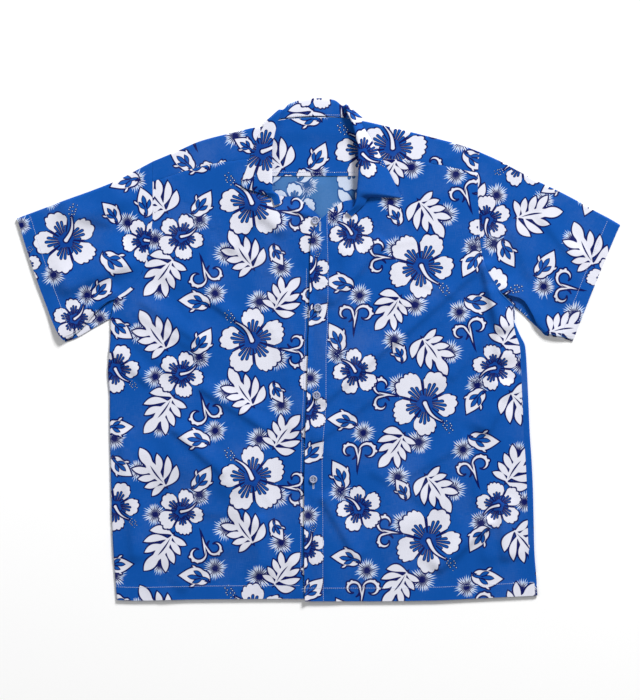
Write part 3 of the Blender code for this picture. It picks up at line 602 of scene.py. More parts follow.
# %% The wearer's left front
def front_left_grid():
    """Patch from the placket seam and the neck to the side seam."""
    chain, folded = side_chain(SIDE_LEFT, ARMHOLE_LEFT, FRONT_LEVELS_LEFT, PER)
    wrap = SIDE_WRAP * ease(0.0, WRAP_TAPER, SIDE_LEFT[-1][1] - chain[:, 1]) * folded
    end = -wrap + SEAM_LAP * ease(0.0, 3.0, wrap)
    start = end - INSET
    outer = chain - [[1.0, 0.0]] * side_depth(start, folded)[:, None]
    rows = np.array([(seam, y) for y, seam, _ in PLACKET[:len(SIDE_LEFT) - 1]], float)
    centre = flowing(np.vstack([rows, NECK_LEFT]), PER)
    centre[:, 0] -= BAND_LAP * (1 - ease(BAND_TOP, BAND_TOP + 9.0, centre[:, 1]))
    hem = along(HEM_LEFT, evenly(ACROSS))
    hem[0], hem[-1] = centre[0], outer[0]
    seam = along(YOKE_SEAM_LEFT[::-1], evenly(ACROSS)) + [0.0, SEAM_LAP]
    centre[-1] = seam[0]
    outer[-1] = seam[-1] = seam[-1] - [INSET, 0]
    main = raised(patch(centre, outer, hem, seam), left_front_height)
    strip = side_strip(chain, folded, -1.0, spread(start, end, SIDE_SHARES))
    strip[-1, :, 1] += SEAM_LAP
    grid = np.concatenate([main, strip], axis=1)
    grid = pucker(dip(hemmed(grid, "first", BODY_HEM, 3), "last", SEAM_DIP, 4.0), "last", 0.14, 10.0, 4)
    under = seen_from(grid, "left")
    covered = 1 - ease(BAND_TOP - 2.0, BAND_TOP + 7.0, under[..., 1])
    under[..., 2] -= BAND_DIP * (1 - ease(0.0, 3.5, from_edge(under))) * covered
    under = seen_from(grid, "right")
    covered = np.broadcast_to(ease(0.0, 3.0, wrap), under.shape[:2])
    under[..., 2] -= SEAM_DIP * (1 - ease(0.5, 3.0, from_edge(under))) * covered
    return pucker(grid, "left", 0.10, 7.0, 5, 3.0)


print("left front grid:", front_left_grid().shape)

# %% The back and the placket band
BACK_LEVELS_RIGHT = (48, 63, 78, 100, 126, 154, 183, 212, 241, 269)
BACK_LEVELS_LEFT = (68, 80, 94, 114, 138, 163, 189, 215, 242, 269)
WRAP_REACH = np.array((-9.9, -8.0, -6.0, -4.2, -3.0, -2.4, -1.8, -1.2, -0.6, 0.0, 0.6, 1.2, 1.8, 2.4, 3.0))
BARE_REACH = np.linspace(0.0, 3.0, len(WRAP_REACH))
PLACKET_LIFT = 1.1  # the band over the front


def back_grid():
    """The back below its yoke seam, from the side fold on one side to its seam round the other side."""
    per = 5
    left, left_folded = side_chain(SIDE_RIGHT, ARMHOLE_RIGHT, BACK_LEVELS_RIGHT, per)
    right, right_folded = side_chain(SIDE_LEFT, ARMHOLE_LEFT, BACK_LEVELS_LEFT, per)
    far, near = np.full(len(left), INSET), np.zeros(len(left))
    full = (ease(0.0, WRAP_TAPER, SIDE_LEFT[-1][1] - right[:, 1]) * right_folded)[:, None]
    wrapped = full * WRAP_REACH + (1 - full) * BARE_REACH
    in_left = left + [[1.0, 0.0]] * side_depth(far, left_folded)[:, None]
    in_right = right - [[1.0, 0.0]] * side_depth(far, right_folded)[:, None]
    columns = 60
    hem = np.linspace(in_left[0], in_right[0], columns)
    in_left[-1, 1] = in_right[-1, 1] = BACK_SEAM_Y
    top = np.linspace(in_left[-1], in_right[-1], columns)
    main = raised(patch(in_left, in_right, hem, top), back_height)
    left_strip = side_strip(left, left_folded, 1.0, spread(far, near, SIDE_SHARES))[:, ::-1]
    right_strip = side_strip(right, right_folded, -1.0, wrapped)[:, ::-1]
    return np.concatenate([left_strip, main, right_strip], axis=1)


def placket_grid():
    """The band between its free edge, which stands off a little, and its seam."""
    rows = np.array(PLACKET, float)
    seam, edge = rows[:, [1, 0]], rows[:, [2, 0]]
    edge[-1, 1] = PLACKET_EDGE_TOP
    seam, edge = flowing(seam, 12), flowing(edge, 12)
    columns = 14
    lower, upper = (np.linspace(edge[end], seam[end], columns) for end in (0, -1))
    plan = patch(edge, seam, lower, upper)
    grid = raised(plan, lambda x, y: front_height(x, y) + PLACKET_LIFT)
    grid = dip(dip(grid, "left", -2.4, 7.0), "right", 0.25, 1.5)
    return pucker(pucker(grid, "left", 0.10, 6.0, 6, 3.0), "right", 0.10, 6.0, 7, 3.0)


print("back grid:", back_grid().shape, "placket grid:", placket_grid().shape)

# %% [markdown]
# Yokes
#
# The outer yoke covers the shoulders: it starts at the back seam, turns over the shoulder and ends at the two
# front seams. Between them the neck cuts its upper part away. The inner yoke lines it, and shows in the open neck.

# %% Outer yoke
SHOULDER_COLUMNS = 46
NECK_COLUMNS = 36
SHOULDER_INSET = 0.7 * INSET
YOKE_TURN = np.radians(np.linspace(60, -60, 9))


def yoke_grid():
    """Rows from the back seam up to the shoulder, round its fold, and down to the front seams."""
    shoulder = evenly(SHOULDER_COLUMNS)
    outline = np.vstack([along(SHOULDER_RIGHT, shoulder), along(NECK_BACK, evenly(NECK_COLUMNS))[1:-1],
                         along(SHOULDER_LEFT[::-1], shoulder)])
    shares = evenly(24)
    arm = [at_heights(side, BACK_SEAM_Y + (side[-1][1] - SHOULDER_INSET - BACK_SEAM_Y) * shares)
           for side in (ARMHOLE_RIGHT, ARMHOLE_LEFT)]
    seam = np.stack([outline[:, 0], np.full(len(outline), BACK_SEAM_Y)], axis=1)
    seam[0], seam[-1] = arm[0][0], arm[1][0]
    fold_line = outline - [0.0, SHOULDER_INSET]
    fold_line[0], fold_line[-1] = arm[0][-1], arm[1][-1]
    under = raised(patch(arm[0], arm[1], seam, fold_line, shares), back_height)
    neck = slice(SHOULDER_COLUMNS, SHOULDER_COLUMNS + NECK_COLUMNS - 2)
    under[-1, neck, 1] = outline[neck, 1]
    upper, lower = front_height(*fold_line.T), back_height(*fold_line.T)
    inward = np.tile([0.0, -1.0], (len(outline), 1))
    turn = rolled(outline, inward, (upper - lower)[:, None] / 2 * YOKE_TURN, upper, lower).transpose(1, 0, 2)
    turn[:, neck] = np.nan
    flaps = []
    down = 16
    for first, seam_rows, armhole, neck_edge in ((True, YOKE_SEAM_RIGHT, ARMHOLE_RIGHT, NECK_RIGHT[-1]),
                                                 (False, YOKE_SEAM_LEFT[::-1], ARMHOLE_LEFT, NECK_LEFT[-1])):
        start = fold_line[:SHOULDER_COLUMNS] if first else fold_line[-SHOULDER_COLUMNS:]
        finish = along(seam_rows, shoulder)
        arm_edge = at_heights(armhole, np.linspace(armhole[-1][1] - SHOULDER_INSET, armhole[-2][1], down))
        neck_line = np.linspace(start[-1 if first else 0], neck_edge, down)
        ends = (arm_edge, neck_line) if first else (neck_line, arm_edge)
        flaps.append(raised(patch(*ends, start, finish), front_height))
    flaps = [pucker(dip(flap, "last", 0.2, 1.5), "last", 0.10, 6.0, 8 + k) for k, flap in enumerate(flaps)]
    blank = np.full((down, NECK_COLUMNS - 2, 3), np.nan)
    return np.concatenate([under, turn, np.concatenate([flaps[0], blank, flaps[1]], axis=1)])


print("yoke grid:", yoke_grid().shape)

# %% Inner yoke
LINING_LIFT = 1.3  # over the outer yoke


def yoke_inner_grid():
    """The lining of the yoke, between the neck seam and the back seam."""
    columns, shares = 60, evenly(30)
    upper = along(NECK_BACK, evenly(columns)) - [0.0, 1.0]
    lower = np.linspace((-99, BACK_SEAM_Y), (91, BACK_SEAM_Y), columns)
    left = along((lower[0], (-97, 305), upper[0]), shares)
    right = along((lower[-1], (89, 305), upper[-1]), shares)
    return raised(patch(left, right, lower, upper), lambda x, y: back_height(x, y) + LINING_LIFT)


print("inner yoke grid:", yoke_inner_grid().shape)

# %% [markdown]
# Sleeves
#
# A short sleeve laid flat is a tube pressed into two layers. At the shoulder it has one fold. At the underarm the
# spare cloth is tucked: the front layer ends in a rounded edge, and below it a strip of the back layer shows that
# runs in under it.

# %% Sizes of a sleeve
STATIONS = 56
FRONT_COLUMNS, BACK_COLUMNS = 60, 66
SLEEVE_CURL = 1.2  # radius of the rounded edge at the tuck
TUCK_RADIUS = 0.8
TUCK_UNDER = 9.0  # how far the strip runs in under the front layer
CURL_ANGLES = np.radians(np.linspace(-40, 90, 9))
TUCK_TURN = np.radians(np.linspace(90, -90, 9))
TUCK_SHARES = np.linspace(0.1, 1.0, 10)
FRONT_LAYER = slice(0, len(CURL_ANGLES) + FRONT_COLUMNS)
print("a sleeve has", STATIONS, "stations from armhole to cuff")


# %% Sleeve grid
def sleeve_layer(low_edge, top_edge, arm_edge, cuff):
    """One flat layer of a sleeve: rows from armhole to cuff, columns from its low edge to the shoulder."""
    cuff_edge = along(cuff, evenly(len(arm_edge)))
    arm_edge[0], arm_edge[-1] = low_edge[0], top_edge[0]
    cuff_edge[0], cuff_edge[-1] = low_edge[-1], top_edge[-1]
    return patch(low_edge, top_edge, arm_edge, cuff_edge)


def sleeve_grid(side, armhole, front_start, top, cuff, underarm, tuck_edge):
    """Columns run up the front layer, round the shoulder, down the back layer and up the tuck."""
    station = evenly(STATIONS)
    lap = np.array([-side * 1.6, 0.0])
    up = np.array([0.0, 1.0])
    upward = np.tile(up, (STATIONS, 1))
    outline, tuck, low = along(top, station), along(tuck_edge, station), along(underarm, station)
    high = outline - up * SHOULDER_INSET
    shoulder_y = armhole[-1][1] - SHOULDER_INSET
    front_arm = at_heights(armhole, np.linspace(front_start, shoulder_y, FRONT_COLUMNS)) + lap
    back_arm = at_heights(armhole, np.linspace(armhole[0][1], shoulder_y, BACK_COLUMNS)) + lap
    front = raised(sleeve_layer(tuck + up * 3.0, high, front_arm, cuff), front_height)
    back = raised(sleeve_layer(low + up * 3.0, high, back_arm, cuff), back_height)
    at = front[:, 0, 2]
    depth = SLEEVE_CURL * (1 - np.cos(CURL_ANGLES))
    drop = SLEEVE_CURL * (1 - np.sin(CURL_ANGLES))
    curl = np.concatenate([tuck[:, None] + upward[:, None] * depth[None, :, None],
                           (at[:, None] - drop[None])[..., None]], axis=-1)
    upper, lower = front_height(*high.T), back_height(*high.T)
    fold = rolled(outline, -upward, -(upper - lower)[:, None] / 2 * YOKE_TURN, upper, lower)
    ground = np.full(STATIONS, GROUND)
    lifted = ground + 2 * TUCK_RADIUS
    turn = rolled(low, upward, np.tile(TUCK_RADIUS * TUCK_TURN, (STATIONS, 1)), lifted, ground)
    begin, end = low + up * TUCK_RADIUS, tuck + up * TUCK_UNDER
    run = begin[:, None] + (end - begin)[:, None] * TUCK_SHARES[None, :, None]
    under = np.concatenate([run, np.full((STATIONS, len(TUCK_SHARES), 1), lifted[0])], axis=-1)
    grid = np.concatenate([curl, front, fold, back[:, ::-1], turn, under], axis=1)
    shoulder_z = (upper[0] + lower[0]) / 2
    layers = slice(0, grid.shape[1] - len(TUCK_TURN) - len(TUCK_SHARES))
    dip(grid[:, layers], "first", SEAM_DIP, 4.5, shoulder_z)
    front_only = grid[:, FRONT_LAYER]
    hemmed(front_only, "last", SLEEVE_HEM, 12)
    pucker(front_only, "first", 0.16, 12.0, 13)
    return grid


print("its edge at the tuck turns by", round(math.degrees(np.ptp(CURL_ANGLES))), "degrees")

# %% [markdown]
# Collar
#
# A camp collar has no band: one piece stands up from the neck seam, rolls over and falls on the shirt. Each cross
# section is two Bezier curves that meet at the roll. On the fronts the fall lies on top. Behind the neck, where
# the shirt lies on its back, the fall lies underneath, so the tangent at the roll turns from up to down.

# %% Collar sections
STAND_SHARES = np.linspace(0.0, 0.9, 10)
FALL_SHARES = np.linspace(0.0, 1.0, 26) ** 1.1
SEAM_LIFT, FALL_LIFT = 1.5, 2.4  # over the fronts
BACK_STAND, BACK_FALL = 3.2, 0.8  # behind the neck: the seam, and the fall under the back
ROLL_PULL = 0.9  # how far the roll bulges, in parts of its height
LEVEL_STAND, LEVEL_FALL = 0.5, 0.6  # how far from the seam and the fall's edge the cloth stays level


def bezier(p0, p1, p2, p3, t):
    """(1-t)^3 p0 + 3 t (1-t)^2 p1 + 3 t^2 (1-t) p2 + t^3 p3."""
    t = np.asarray(t)[None, :, None]
    p0, p1, p2, p3 = (p[:, None] for p in (p0, p1, p2, p3))
    return (1 - t) ** 3 * p0 + 3 * t * (1 - t) ** 2 * p1 + 3 * t * t * (1 - t) * p2 + t ** 3 * p3


def collar_grid():
    """Stations run from the wearer's right front end round the neck to the left one."""
    table = np.array([[*roll, *fall, *seam, lean, lift] for roll, fall, seam, lean, lift in COLLAR], float)
    rows = flowing(table, 10)
    roll, fall, seam, lean, lift = rows[:, 0:2], rows[:, 2:4], rows[:, 4:6], rows[:, 6], rows[:, 7]
    on_top = (1 + lean) / 2
    seam_z = on_top * (front_height(*seam.T) + SEAM_LIFT) + (1 - on_top) * BACK_STAND
    fall_z = on_top * (front_height(*fall.T) + FALL_LIFT) + (1 - on_top) * BACK_FALL
    roll_z = on_top * (seam_z + lift) + (1 - on_top) * (BACK_STAND + BACK_FALL) / 2
    seam, fall, roll = (np.column_stack([p, z]) for p, z in ((seam, seam_z), (fall, fall_z), (roll, roll_z)))
    heading = fall - roll
    outward = np.column_stack([-heading[:, 1], heading[:, 0], np.zeros(len(heading))])
    outward /= np.linalg.norm(outward, axis=1, keepdims=True)
    outward *= np.where(outward[:, 1:2] < 0, -1.0, 1.0)
    tilt = lean * math.pi / 2
    tangent = outward * np.cos(tilt)[:, None] + np.array([0.0, 0.0, 1.0]) * np.sin(tilt)[:, None]
    pull = ROLL_PULL * lift[:, None] * tangent
    level_stand = seam + (roll - seam) * LEVEL_STAND
    level_stand[:, 2] = seam[:, 2]
    level_fall = fall + (roll - fall) * LEVEL_FALL
    level_fall[:, 2] = fall[:, 2] + np.clip(lean, 0, 1) * ROLL_PULL * lift
    stand = bezier(seam, level_stand, roll - pull, roll, STAND_SHARES)
    over = bezier(roll, roll + pull, level_fall, fall, FALL_SHARES)
    return np.concatenate([stand, over], axis=1)


print("collar grid:", collar_grid().shape)

# %% [markdown]
# Formulas as nodes
#
# The print is drawn by formulas, not from a picture, so that it stays sharp and follows every piece. A formula
# like `2 * x + y` has to become a chain of Math nodes. The small class below does that: each Field is one number
# that varies over the cloth, and its arithmetic adds nodes to the tree that it belongs to.

# %% Nodes
def feed(tree, socket, value):
    """Link a field or a socket into a node's input, or set a plain number or colour there."""
    if isinstance(value, Field):
        value = value.socket
    if isinstance(value, bpy.types.NodeSocket):
        tree.links.new(value, socket)
    else:
        socket.default_value = value


def put(tree, kind, inputs, **settings):
    """A new shader node: its settings first, then its inputs, which go by number or by name."""
    node = tree.nodes.new("ShaderNode" + kind)
    for name, value in settings.items():
        setattr(node, name, value)
    for key, value in inputs.items():
        feed(tree, node.inputs[key], value)
    return node


print("a plain number or a link goes into every input")


# %% The class of fields
def math_node(tree, operation, *values):
    """A Math node with the given inputs; its result as a field."""
    return Field(tree, put(tree, "Math", dict(enumerate(values)), operation=operation).outputs[0])


class Field:
    """A number that varies over the cloth, held as a socket; arithmetic on it adds Math nodes."""

    def __init__(self, tree, socket):
        self.tree, self.socket = tree, socket

    def of(self, operation, *others):
        """The result of one Math operation on this field and the others."""
        return math_node(self.tree, operation, self, *others)

    def __add__(self, other):
        return self.of("ADD", other)

    def __sub__(self, other):
        return self.of("SUBTRACT", other)

    def __mul__(self, other):
        return self.of("MULTIPLY", other)

    def __truediv__(self, other):
        return self.of("DIVIDE", other)

    def __rsub__(self, other):
        return math_node(self.tree, "SUBTRACT", other, self)

    def __abs__(self):
        return self.of("ABSOLUTE")

    __radd__, __rmul__ = __add__, __mul__

    def sin(self):
        """The sine, for an angle in radians."""
        return self.of("SINE")

    def least(self, *others):
        """The smallest of this field and the others."""
        result = self
        for other in others:
            result = result.of("MINIMUM", other)
        return result

    def most(self, *others):
        """The largest of this field and the others."""
        result = self
        for other in others:
            result = result.of("MAXIMUM", other)
        return result

    def reach(self, other):
        """Distance sqrt(a^2 + b^2)."""
        return (self * self + other * other).of("SQRT")

    def rise(self, low, high):
        """0 below low, 1 above high, smooth between."""
        ramp = put(self.tree, "MapRange", {0: self, 1: low, 2: high}, interpolation_type="SMOOTHSTEP")
        return Field(self.tree, ramp.outputs[0])


print("parts of a field:", len(vars(Field)))


# %% Colours, places and groups
def split(tree, vector):
    """The three parts of a vector as fields."""
    return [Field(tree, output) for output in put(tree, "SeparateXYZ", {0: vector}).outputs]


def inked(tree, under, ink, mask):
    """One colour laid over another where the mask is 1."""
    return put(tree, "Mix", {0: mask, 6: under, 7: ink}, data_type="RGBA").outputs[2]


def turned(tree, place, centre, angle, size):
    """The place seen from a motif's own centre, axis and size: (R^-1 (p - c)) / size, and z = 1 / size."""
    return put(tree, "Mapping", {"Vector": place, "Location": (*centre, 0.0),
                                 "Rotation": (0.0, 0.0, math.radians(angle)), "Scale": (size, size, 1.0)},
               vector_type="TEXTURE").outputs[0]


def open_group(name, inputs, outputs):
    """A node group with the named sockets: its tree, what comes in, and where its results go."""
    tree = bpy.data.node_groups.new(name, "ShaderNodeTree")
    for way, sockets in (("INPUT", inputs), ("OUTPUT", outputs)):
        for label, kind in sockets.items():
            tree.interface.new_socket(label, in_out=way, socket_type="NodeSocket" + kind)
    return tree, tree.nodes.new("NodeGroupInput").outputs, tree.nodes.new("NodeGroupOutput").inputs


print("node groups so far:", len(bpy.data.node_groups))

# %% [markdown]
# Inks
#
# The cloth is dyed royal blue and printed with white, pale blue and navy. Screen colours are turned into the
# linear values that a shader wants.

# %% Ink colours
def linear(red, green, blue):
    """Screen values 0-255 to linear ones: c / 12.92 near black, ((c + 0.055) / 1.055)^2.4 above."""
    screen = np.array([red, green, blue]) / 255.0
    value = np.where(screen <= 0.04045, screen / 12.92, ((screen + 0.055) / 1.055) ** 2.4)
    return (*map(float, value), 1.0)


DYE_BLUE = linear(8, 80, 165)
DYE_SHADE = linear(8, 66, 150)
WHITE_INK = linear(220, 221, 233)
PALE_INK = linear(190, 214, 242)
NAVY_INK = linear(3, 16, 88)
LINE = 2.6  # width of a navy outline in millimetres


def motif_group(name):
    """A node group for one motif: its place in, the colour under it in, and the printed colour out."""
    tree, coming, going = open_group(name, {"Place": "Vector", "Under": "Color"}, {"Colour": "Color"})
    return tree, coming["Place"], coming["Under"], going["Colour"]


def outlined(tree, under, shape, line):
    """A shape in white with a navy outline: shape is the depth inside it, line the outline's width."""
    colour = inked(tree, under, NAVY_INK, shape.rise(line * -0.95, line * -0.75))
    return inked(tree, colour, WHITE_INK, shape.rise(line * 0.05, line * 0.25))


print("the outline is", LINE, "mm wide")

# %% [markdown]
# Hibiscus
#
# Five fan petals stand round the eye, with the widest gap where the pistil lies. Folding the angle once by its
# sign and then by 72 degrees gives every petal the same formula. A petal ends at a frilled arc, is cut off at its
# sides by narrow gaps, and has five drop-shaped streaks in it that run out of the eye.

# %% Sizes of the flower
PETAL = math.radians(36)  # half of a petal's angle
STREAK = math.radians(13.4)  # from one streak to the next
PETAL_START = math.radians(9)  # from the pistil to the first petal
PETAL_REACH, PETAL_ROUND = 0.92, 0.43  # radius of the flower, and how much less at a petal's corner
HEART, EYE = 0.17, 0.26  # radius at which the petals begin, and of the shaded eye
STREAK_FROM, STREAK_TO, STREAK_WIDE = 0.12, 0.61, 0.033
PISTIL_END, PISTIL_WIDE = 0.76, 0.068
print("petals:", round(math.pi / PETAL))


# %% Hibiscus group
def hibiscus_group():
    """Petals where min(r sin(36 - |a|) - gap, edge(a) - r, r - heart) > 0, streaks, pistil and pollen on top.

    A petal's number and its own angle a come from the angle past the pistil, divided by 72 degrees. Its edge is
    reach + frill - round (|a| / 36)^3.2. The pistil is a bent stroke that thins towards its end.
    """
    tree, place, under, out = motif_group("hibiscus")
    x, y, unit = split(tree, place)
    line = unit * LINE
    r, theta = x.reach(y), y.of("ARCTAN2", x)
    swept = abs(theta + (r * 2.6).sin() * 0.10 - 0.07) * 1.05 - PETAL_START
    number = (swept.most(0.0) / (2 * PETAL)).of("FLOOR")
    angle = swept - number * (2 * PETAL) - PETAL
    aside = (PETAL - abs(angle)).sin() * r - 0.030 - r * 0.022
    corner = (abs(angle) / PETAL).of("POWER", 3.2)
    frill = abs((theta * 15.0 + (theta * 4.0 + 1.0).sin() * 1.3).sin()) * 0.06
    wobble = (theta * 7.0 + 1.3).sin() * 0.025
    edge = PETAL_REACH + number * 0.055 - corner * PETAL_ROUND + frill + wobble
    petal = aside.least(edge - r, r - HEART)
    drop = (angle / STREAK).of("ROUND").least(2.0).most(-2.0)
    tip = STREAK_TO - drop * drop * 0.05 + (theta * 4.0).sin() * 0.035
    across = (angle - drop * STREAK) * r
    streak = r.rise(STREAK_FROM, tip) * STREAK_WIDE + 0.012 - across.reach((r - tip).most(0.0))
    middle = x.least(PISTIL_END).most(0.0)
    bend = (middle * 4.1).sin() * -0.095
    pistil = PISTIL_WIDE - middle * 0.072 - (x - middle).reach(y - bend)
    pollen = put(tree, "TexVoronoi", {"Vector": place, "Scale": 9.6, "Randomness": 0.5}, voronoi_dimensions="2D")
    grain = Field(tree, pollen.outputs["Distance"])
    cloud = 1.0 - ((x - 0.98) / 0.25).reach(y / 0.15)
    colour = outlined(tree, under, petal, line)
    on_petal = petal.rise(line * -0.5, 0.0)
    colour = inked(tree, colour, NAVY_INK, streak.rise(line * -0.3, line * -0.1) * on_petal)
    colour = inked(tree, colour, DYE_BLUE, streak.rise(line * 0.25, line * 0.45) * on_petal)
    eye = EYE + (theta * 5.0).sin() * 0.03 - r
    colour = inked(tree, colour, DYE_SHADE, eye.rise(0.0, 0.03))
    colour = outlined(tree, colour, pistil, line)
    inside = cloud.rise(-0.01, 0.01)
    colour = inked(tree, colour, NAVY_INK, (0.38 - grain).rise(0.0, 0.03) * inside)
    colour = inked(tree, colour, PALE_INK, (0.16 - grain).rise(0.0, 0.03) * inside)
    feed(tree, out, colour)
    return tree


hibiscus = hibiscus_group()
print("hibiscus nodes:", len(hibiscus.nodes))

# %% [markdown]
# Leaf
#
# A split leaf is a handful of pointed lobes along a curved rib. One lobe is a drop: along its axis from 0 to 1 its
# half width is 4 w a (1 - a), with some more towards the tip. The leaf is the union of its lobes, which is the
# largest of their fields.

# %% Leaf group
# Columns: base x, base y, tip x, tip y, half width, bend to the left. The rib runs from x = -1 to x = 1.
LEAF_LOBES = (
    (-0.14, 0.04, 1.04, 0.00, 0.25, 0.02),
    (-0.20, 0.02, 0.46, 0.82, 0.175, 0.05),
    (-0.50, 0.00, -0.08, 0.87, 0.165, 0.03),
    (-0.80, -0.02, -0.57, 0.84, 0.155, 0.01),
    (-1.02, -0.06, -1.08, 0.78, 0.155, -0.06),
    (-0.48, 0.02, 0.38, -0.50, 0.165, -0.08),
    (-0.80, 0.00, 0.02, -0.84, 0.175, -0.12),
    (-1.06, 0.02, -0.56, -0.94, 0.20, -0.14),
    (-1.10, 0.00, 0.54, 0.06, 0.24, 0.02),
)
LEAF_RIB = (-0.95, -0.02, 0.14, 0.05, 0.045, 0.05)


def lens(tree, place, base_x, base_y, tip_x, tip_y, wide, bend):
    """Depth inside a drop: 4 w a (1 - a) (0.6 + 0.7 a) - |b - 4 c a (1 - a)|, with a from its base to its tip."""
    length = math.hypot(tip_x - base_x, tip_y - base_y)
    angle = math.degrees(math.atan2(tip_y - base_y, tip_x - base_x))
    a, b, _ = split(tree, turned(tree, place, (base_x, base_y), angle, length))
    bulge = a * (1.0 - a)
    half = bulge * (a.most(0.0) * 0.7 + 0.6) * (4 * wide / length)
    return (half - abs(b - bulge * (4 * bend / length))) * length


def union(fields, soft):
    """The largest of the fields; where two of them meet within soft, the corner between them is filled."""
    result = fields[0]
    for field in fields[1:]:
        result = result.of("SMOOTH_MAX", field, soft)
    return result


def leaf_group():
    """White lobes with a navy outline and a navy rib."""
    tree, place, under, out = motif_group("split_leaf")
    line = split(tree, place)[2] * LINE
    blade = union([lens(tree, place, *lobe) for lobe in LEAF_LOBES], 0.08)
    rib = lens(tree, place, *LEAF_RIB)
    colour = outlined(tree, under, blade, line)
    feed(tree, out, inked(tree, colour, NAVY_INK, rib.rise(0.0, 0.01)))
    return tree


split_leaf = leaf_group()
print("leaf nodes:", len(split_leaf.nodes))

# %% [markdown]
# Bud
#
# A bud is a flame of curved sheaths that meet in a point, with a thorn on each back, and an opening of three lobes
# between them that shows the dyed ground.

# %% Bud group
# The columns are those of the leaf's lobes, and the flame's point is at x = 1.2.
BUD_SHEATHS = (
    (1.20, 0.04, -0.98, -0.06, 0.64, 0.05),
    (-0.20, -0.50, -1.12, 0.22, 0.13, 0.20),
    (0.05, 0.42, -0.95, 0.34, 0.15, -0.04),
    (-0.10, 0.46, 0.30, 0.78, 0.08, 0.03),
    (-0.12, -0.48, 0.28, -0.80, 0.08, -0.03),
)
BUD_OPENING = (
    (-0.48, 0.02, 0.56, 0.02, 0.18, 0.02),
    (-0.60, 0.04, 0.16, 0.46, 0.16, 0.04),
    (-0.60, 0.00, 0.14, -0.42, 0.16, -0.04),
    (-0.10, 0.00, -1.10, 0.12, 0.12, 0.00),
)


def bud_group():
    """White sheaths, and the opening cut out of them with a navy rim: min(sheaths, -opening)."""
    tree, place, under, out = motif_group("bud")
    line = split(tree, place)[2] * LINE
    sheaths = union([lens(tree, place, *sheath) for sheath in BUD_SHEATHS], 0.06)
    opening = union([lens(tree, place, *lobe) for lobe in BUD_OPENING], 0.06)
    colour = inked(tree, under, NAVY_INK, sheaths.rise(line * -0.95, line * -0.75))
    ground = opening.rise(line * 0.3, line * 0.5) * sheaths.rise(line * -1.2, line * -1.0)
    colour = inked(tree, colour, DYE_BLUE, ground)
    flame = sheaths.least(opening * -1.0)
    colour = inked(tree, colour, WHITE_INK, flame.rise(line * 0.05, line * 0.25))
    feed(tree, out, colour)
    return tree


bud = bud_group()
print("bud nodes:", len(bud.nodes))

# %% [markdown]
# Burst
#
# A burst is a tuft of pale needles round a dark heart. The angle is cut into some thirty parts, and white noise on
# the number of the part gives every needle its own length.

# %% Burst group
def needles(tree, x, y, count, shift):
    """For each of count needles: how far from its middle line (0 to 1), and a random number of its own."""
    theta = (y.of("ARCTAN2", x) + math.pi) * (count / (2 * math.pi))
    chance = put(tree, "TexWhiteNoise", {"W": theta.of("FLOOR") + shift}, noise_dimensions="1D")
    return abs(theta.of("FRACT") * 2.0 - 1.0), Field(tree, chance.outputs["Value"])


def burst_group():
    """Pale needles out to 0.7-1.16, white ones out to 0.75-1.05 and navy ones out to 0.5-0.92."""
    tree, place, under, out = motif_group("burst")
    x, y, unit = split(tree, place)
    r = x.reach(y)

    def tuft(at_x, count, shift, full, start, shortest, spread, taper):
        """Depth inside a needle: full (1 - distance from its middle line) - taper * rise from start to its tip."""
        off, chance = needles(tree, at_x, y, count, shift)
        return (1.0 - off) * full - r.rise(start, shortest + chance * spread) * taper

    pale = tuft(x, 30.0, 0.5, 1.0, 0.25, 0.70, 0.46, 1.04)
    dark = tuft(x + 0.02, 23.0, 77.5, 1.0, 0.20, 0.50, 0.42, 1.04)
    white = tuft(x, 27.0, 31.5, 0.85, 0.3, 0.75, 0.3, 1.0)
    solid = (0.55 - r).rise(0.0, 0.2) * 0.45
    colour = inked(tree, under, PALE_INK, pale.rise(0.0, 0.15).most(solid))
    colour = inked(tree, colour, WHITE_INK, white.rise(0.0, 0.1) * 0.7)
    colour = inked(tree, colour, NAVY_INK, dark.rise(0.0, 0.15).most((0.25 - r).rise(0.0, 0.08)))
    feed(tree, out, colour)
    return tree


burst = burst_group()
print("burst nodes:", len(burst.nodes))

# %% [markdown]
# Scroll
#
# A scroll is a stem that parts into two hooks. Each hook is a stroke along a circle whose width swells and dies
# away with the angle, and small round bumps sit on its outer side.

# %% Scroll group
# Columns: centre x, centre y, radius, angle of the thick middle, half sweep in degrees, half width, uncurling.
SCROLL_HOOKS = ((-0.62, -0.17, 0.47, -115.0, 146.0, 0.105, 0.055), (0.54, 0.25, 0.42, -52.0, 146.0, 0.09, -0.05))
# Columns as for the leaf's lobes.
SCROLL_STEMS = ((-0.34, 1.06, -0.10, -0.30, 0.07, 0.04), (-0.28, 0.80, 0.40, -0.22, 0.06, -0.10))
# Columns: x, y, radius.
SCROLL_BUMPS = ((-0.36, -0.66, 0.07), (-0.62, -0.72, 0.09), (-0.92, -0.62, 0.10), (-1.12, -0.38, 0.09),
                (0.78, -0.17, 0.10), (0.96, 0.02, 0.09))


def hook(tree, place, centre_x, centre_y, radius, middle, sweep, wide, uncurl):
    """Depth inside a stroke along a spiral: w (1 - (angle / sweep)^2) - |r - radius - uncurl angle|."""
    x, y, _ = split(tree, turned(tree, place, (centre_x, centre_y), middle, 1.0))
    angle = y.of("ARCTAN2", x)
    part = angle / math.radians(sweep)
    return (1.0 - part * part) * wide - abs(x.reach(y) - radius - angle * uncurl)


def scroll_group():
    """A stem and two hooks with bumps, white with a navy outline."""
    tree, place, under, out = motif_group("scroll")
    x, y, unit = split(tree, place)
    line = unit * LINE
    strokes = ([hook(tree, place, *row) for row in SCROLL_HOOKS]
               + [lens(tree, place, *row) for row in SCROLL_STEMS]
               + [size - (x - at_x).reach(y - at_y) for at_x, at_y, size in SCROLL_BUMPS])
    feed(tree, out, outlined(tree, under, union(strokes, 0.04), line))
    return tree


scroll = scroll_group()
print("scroll nodes:", len(scroll.nodes))

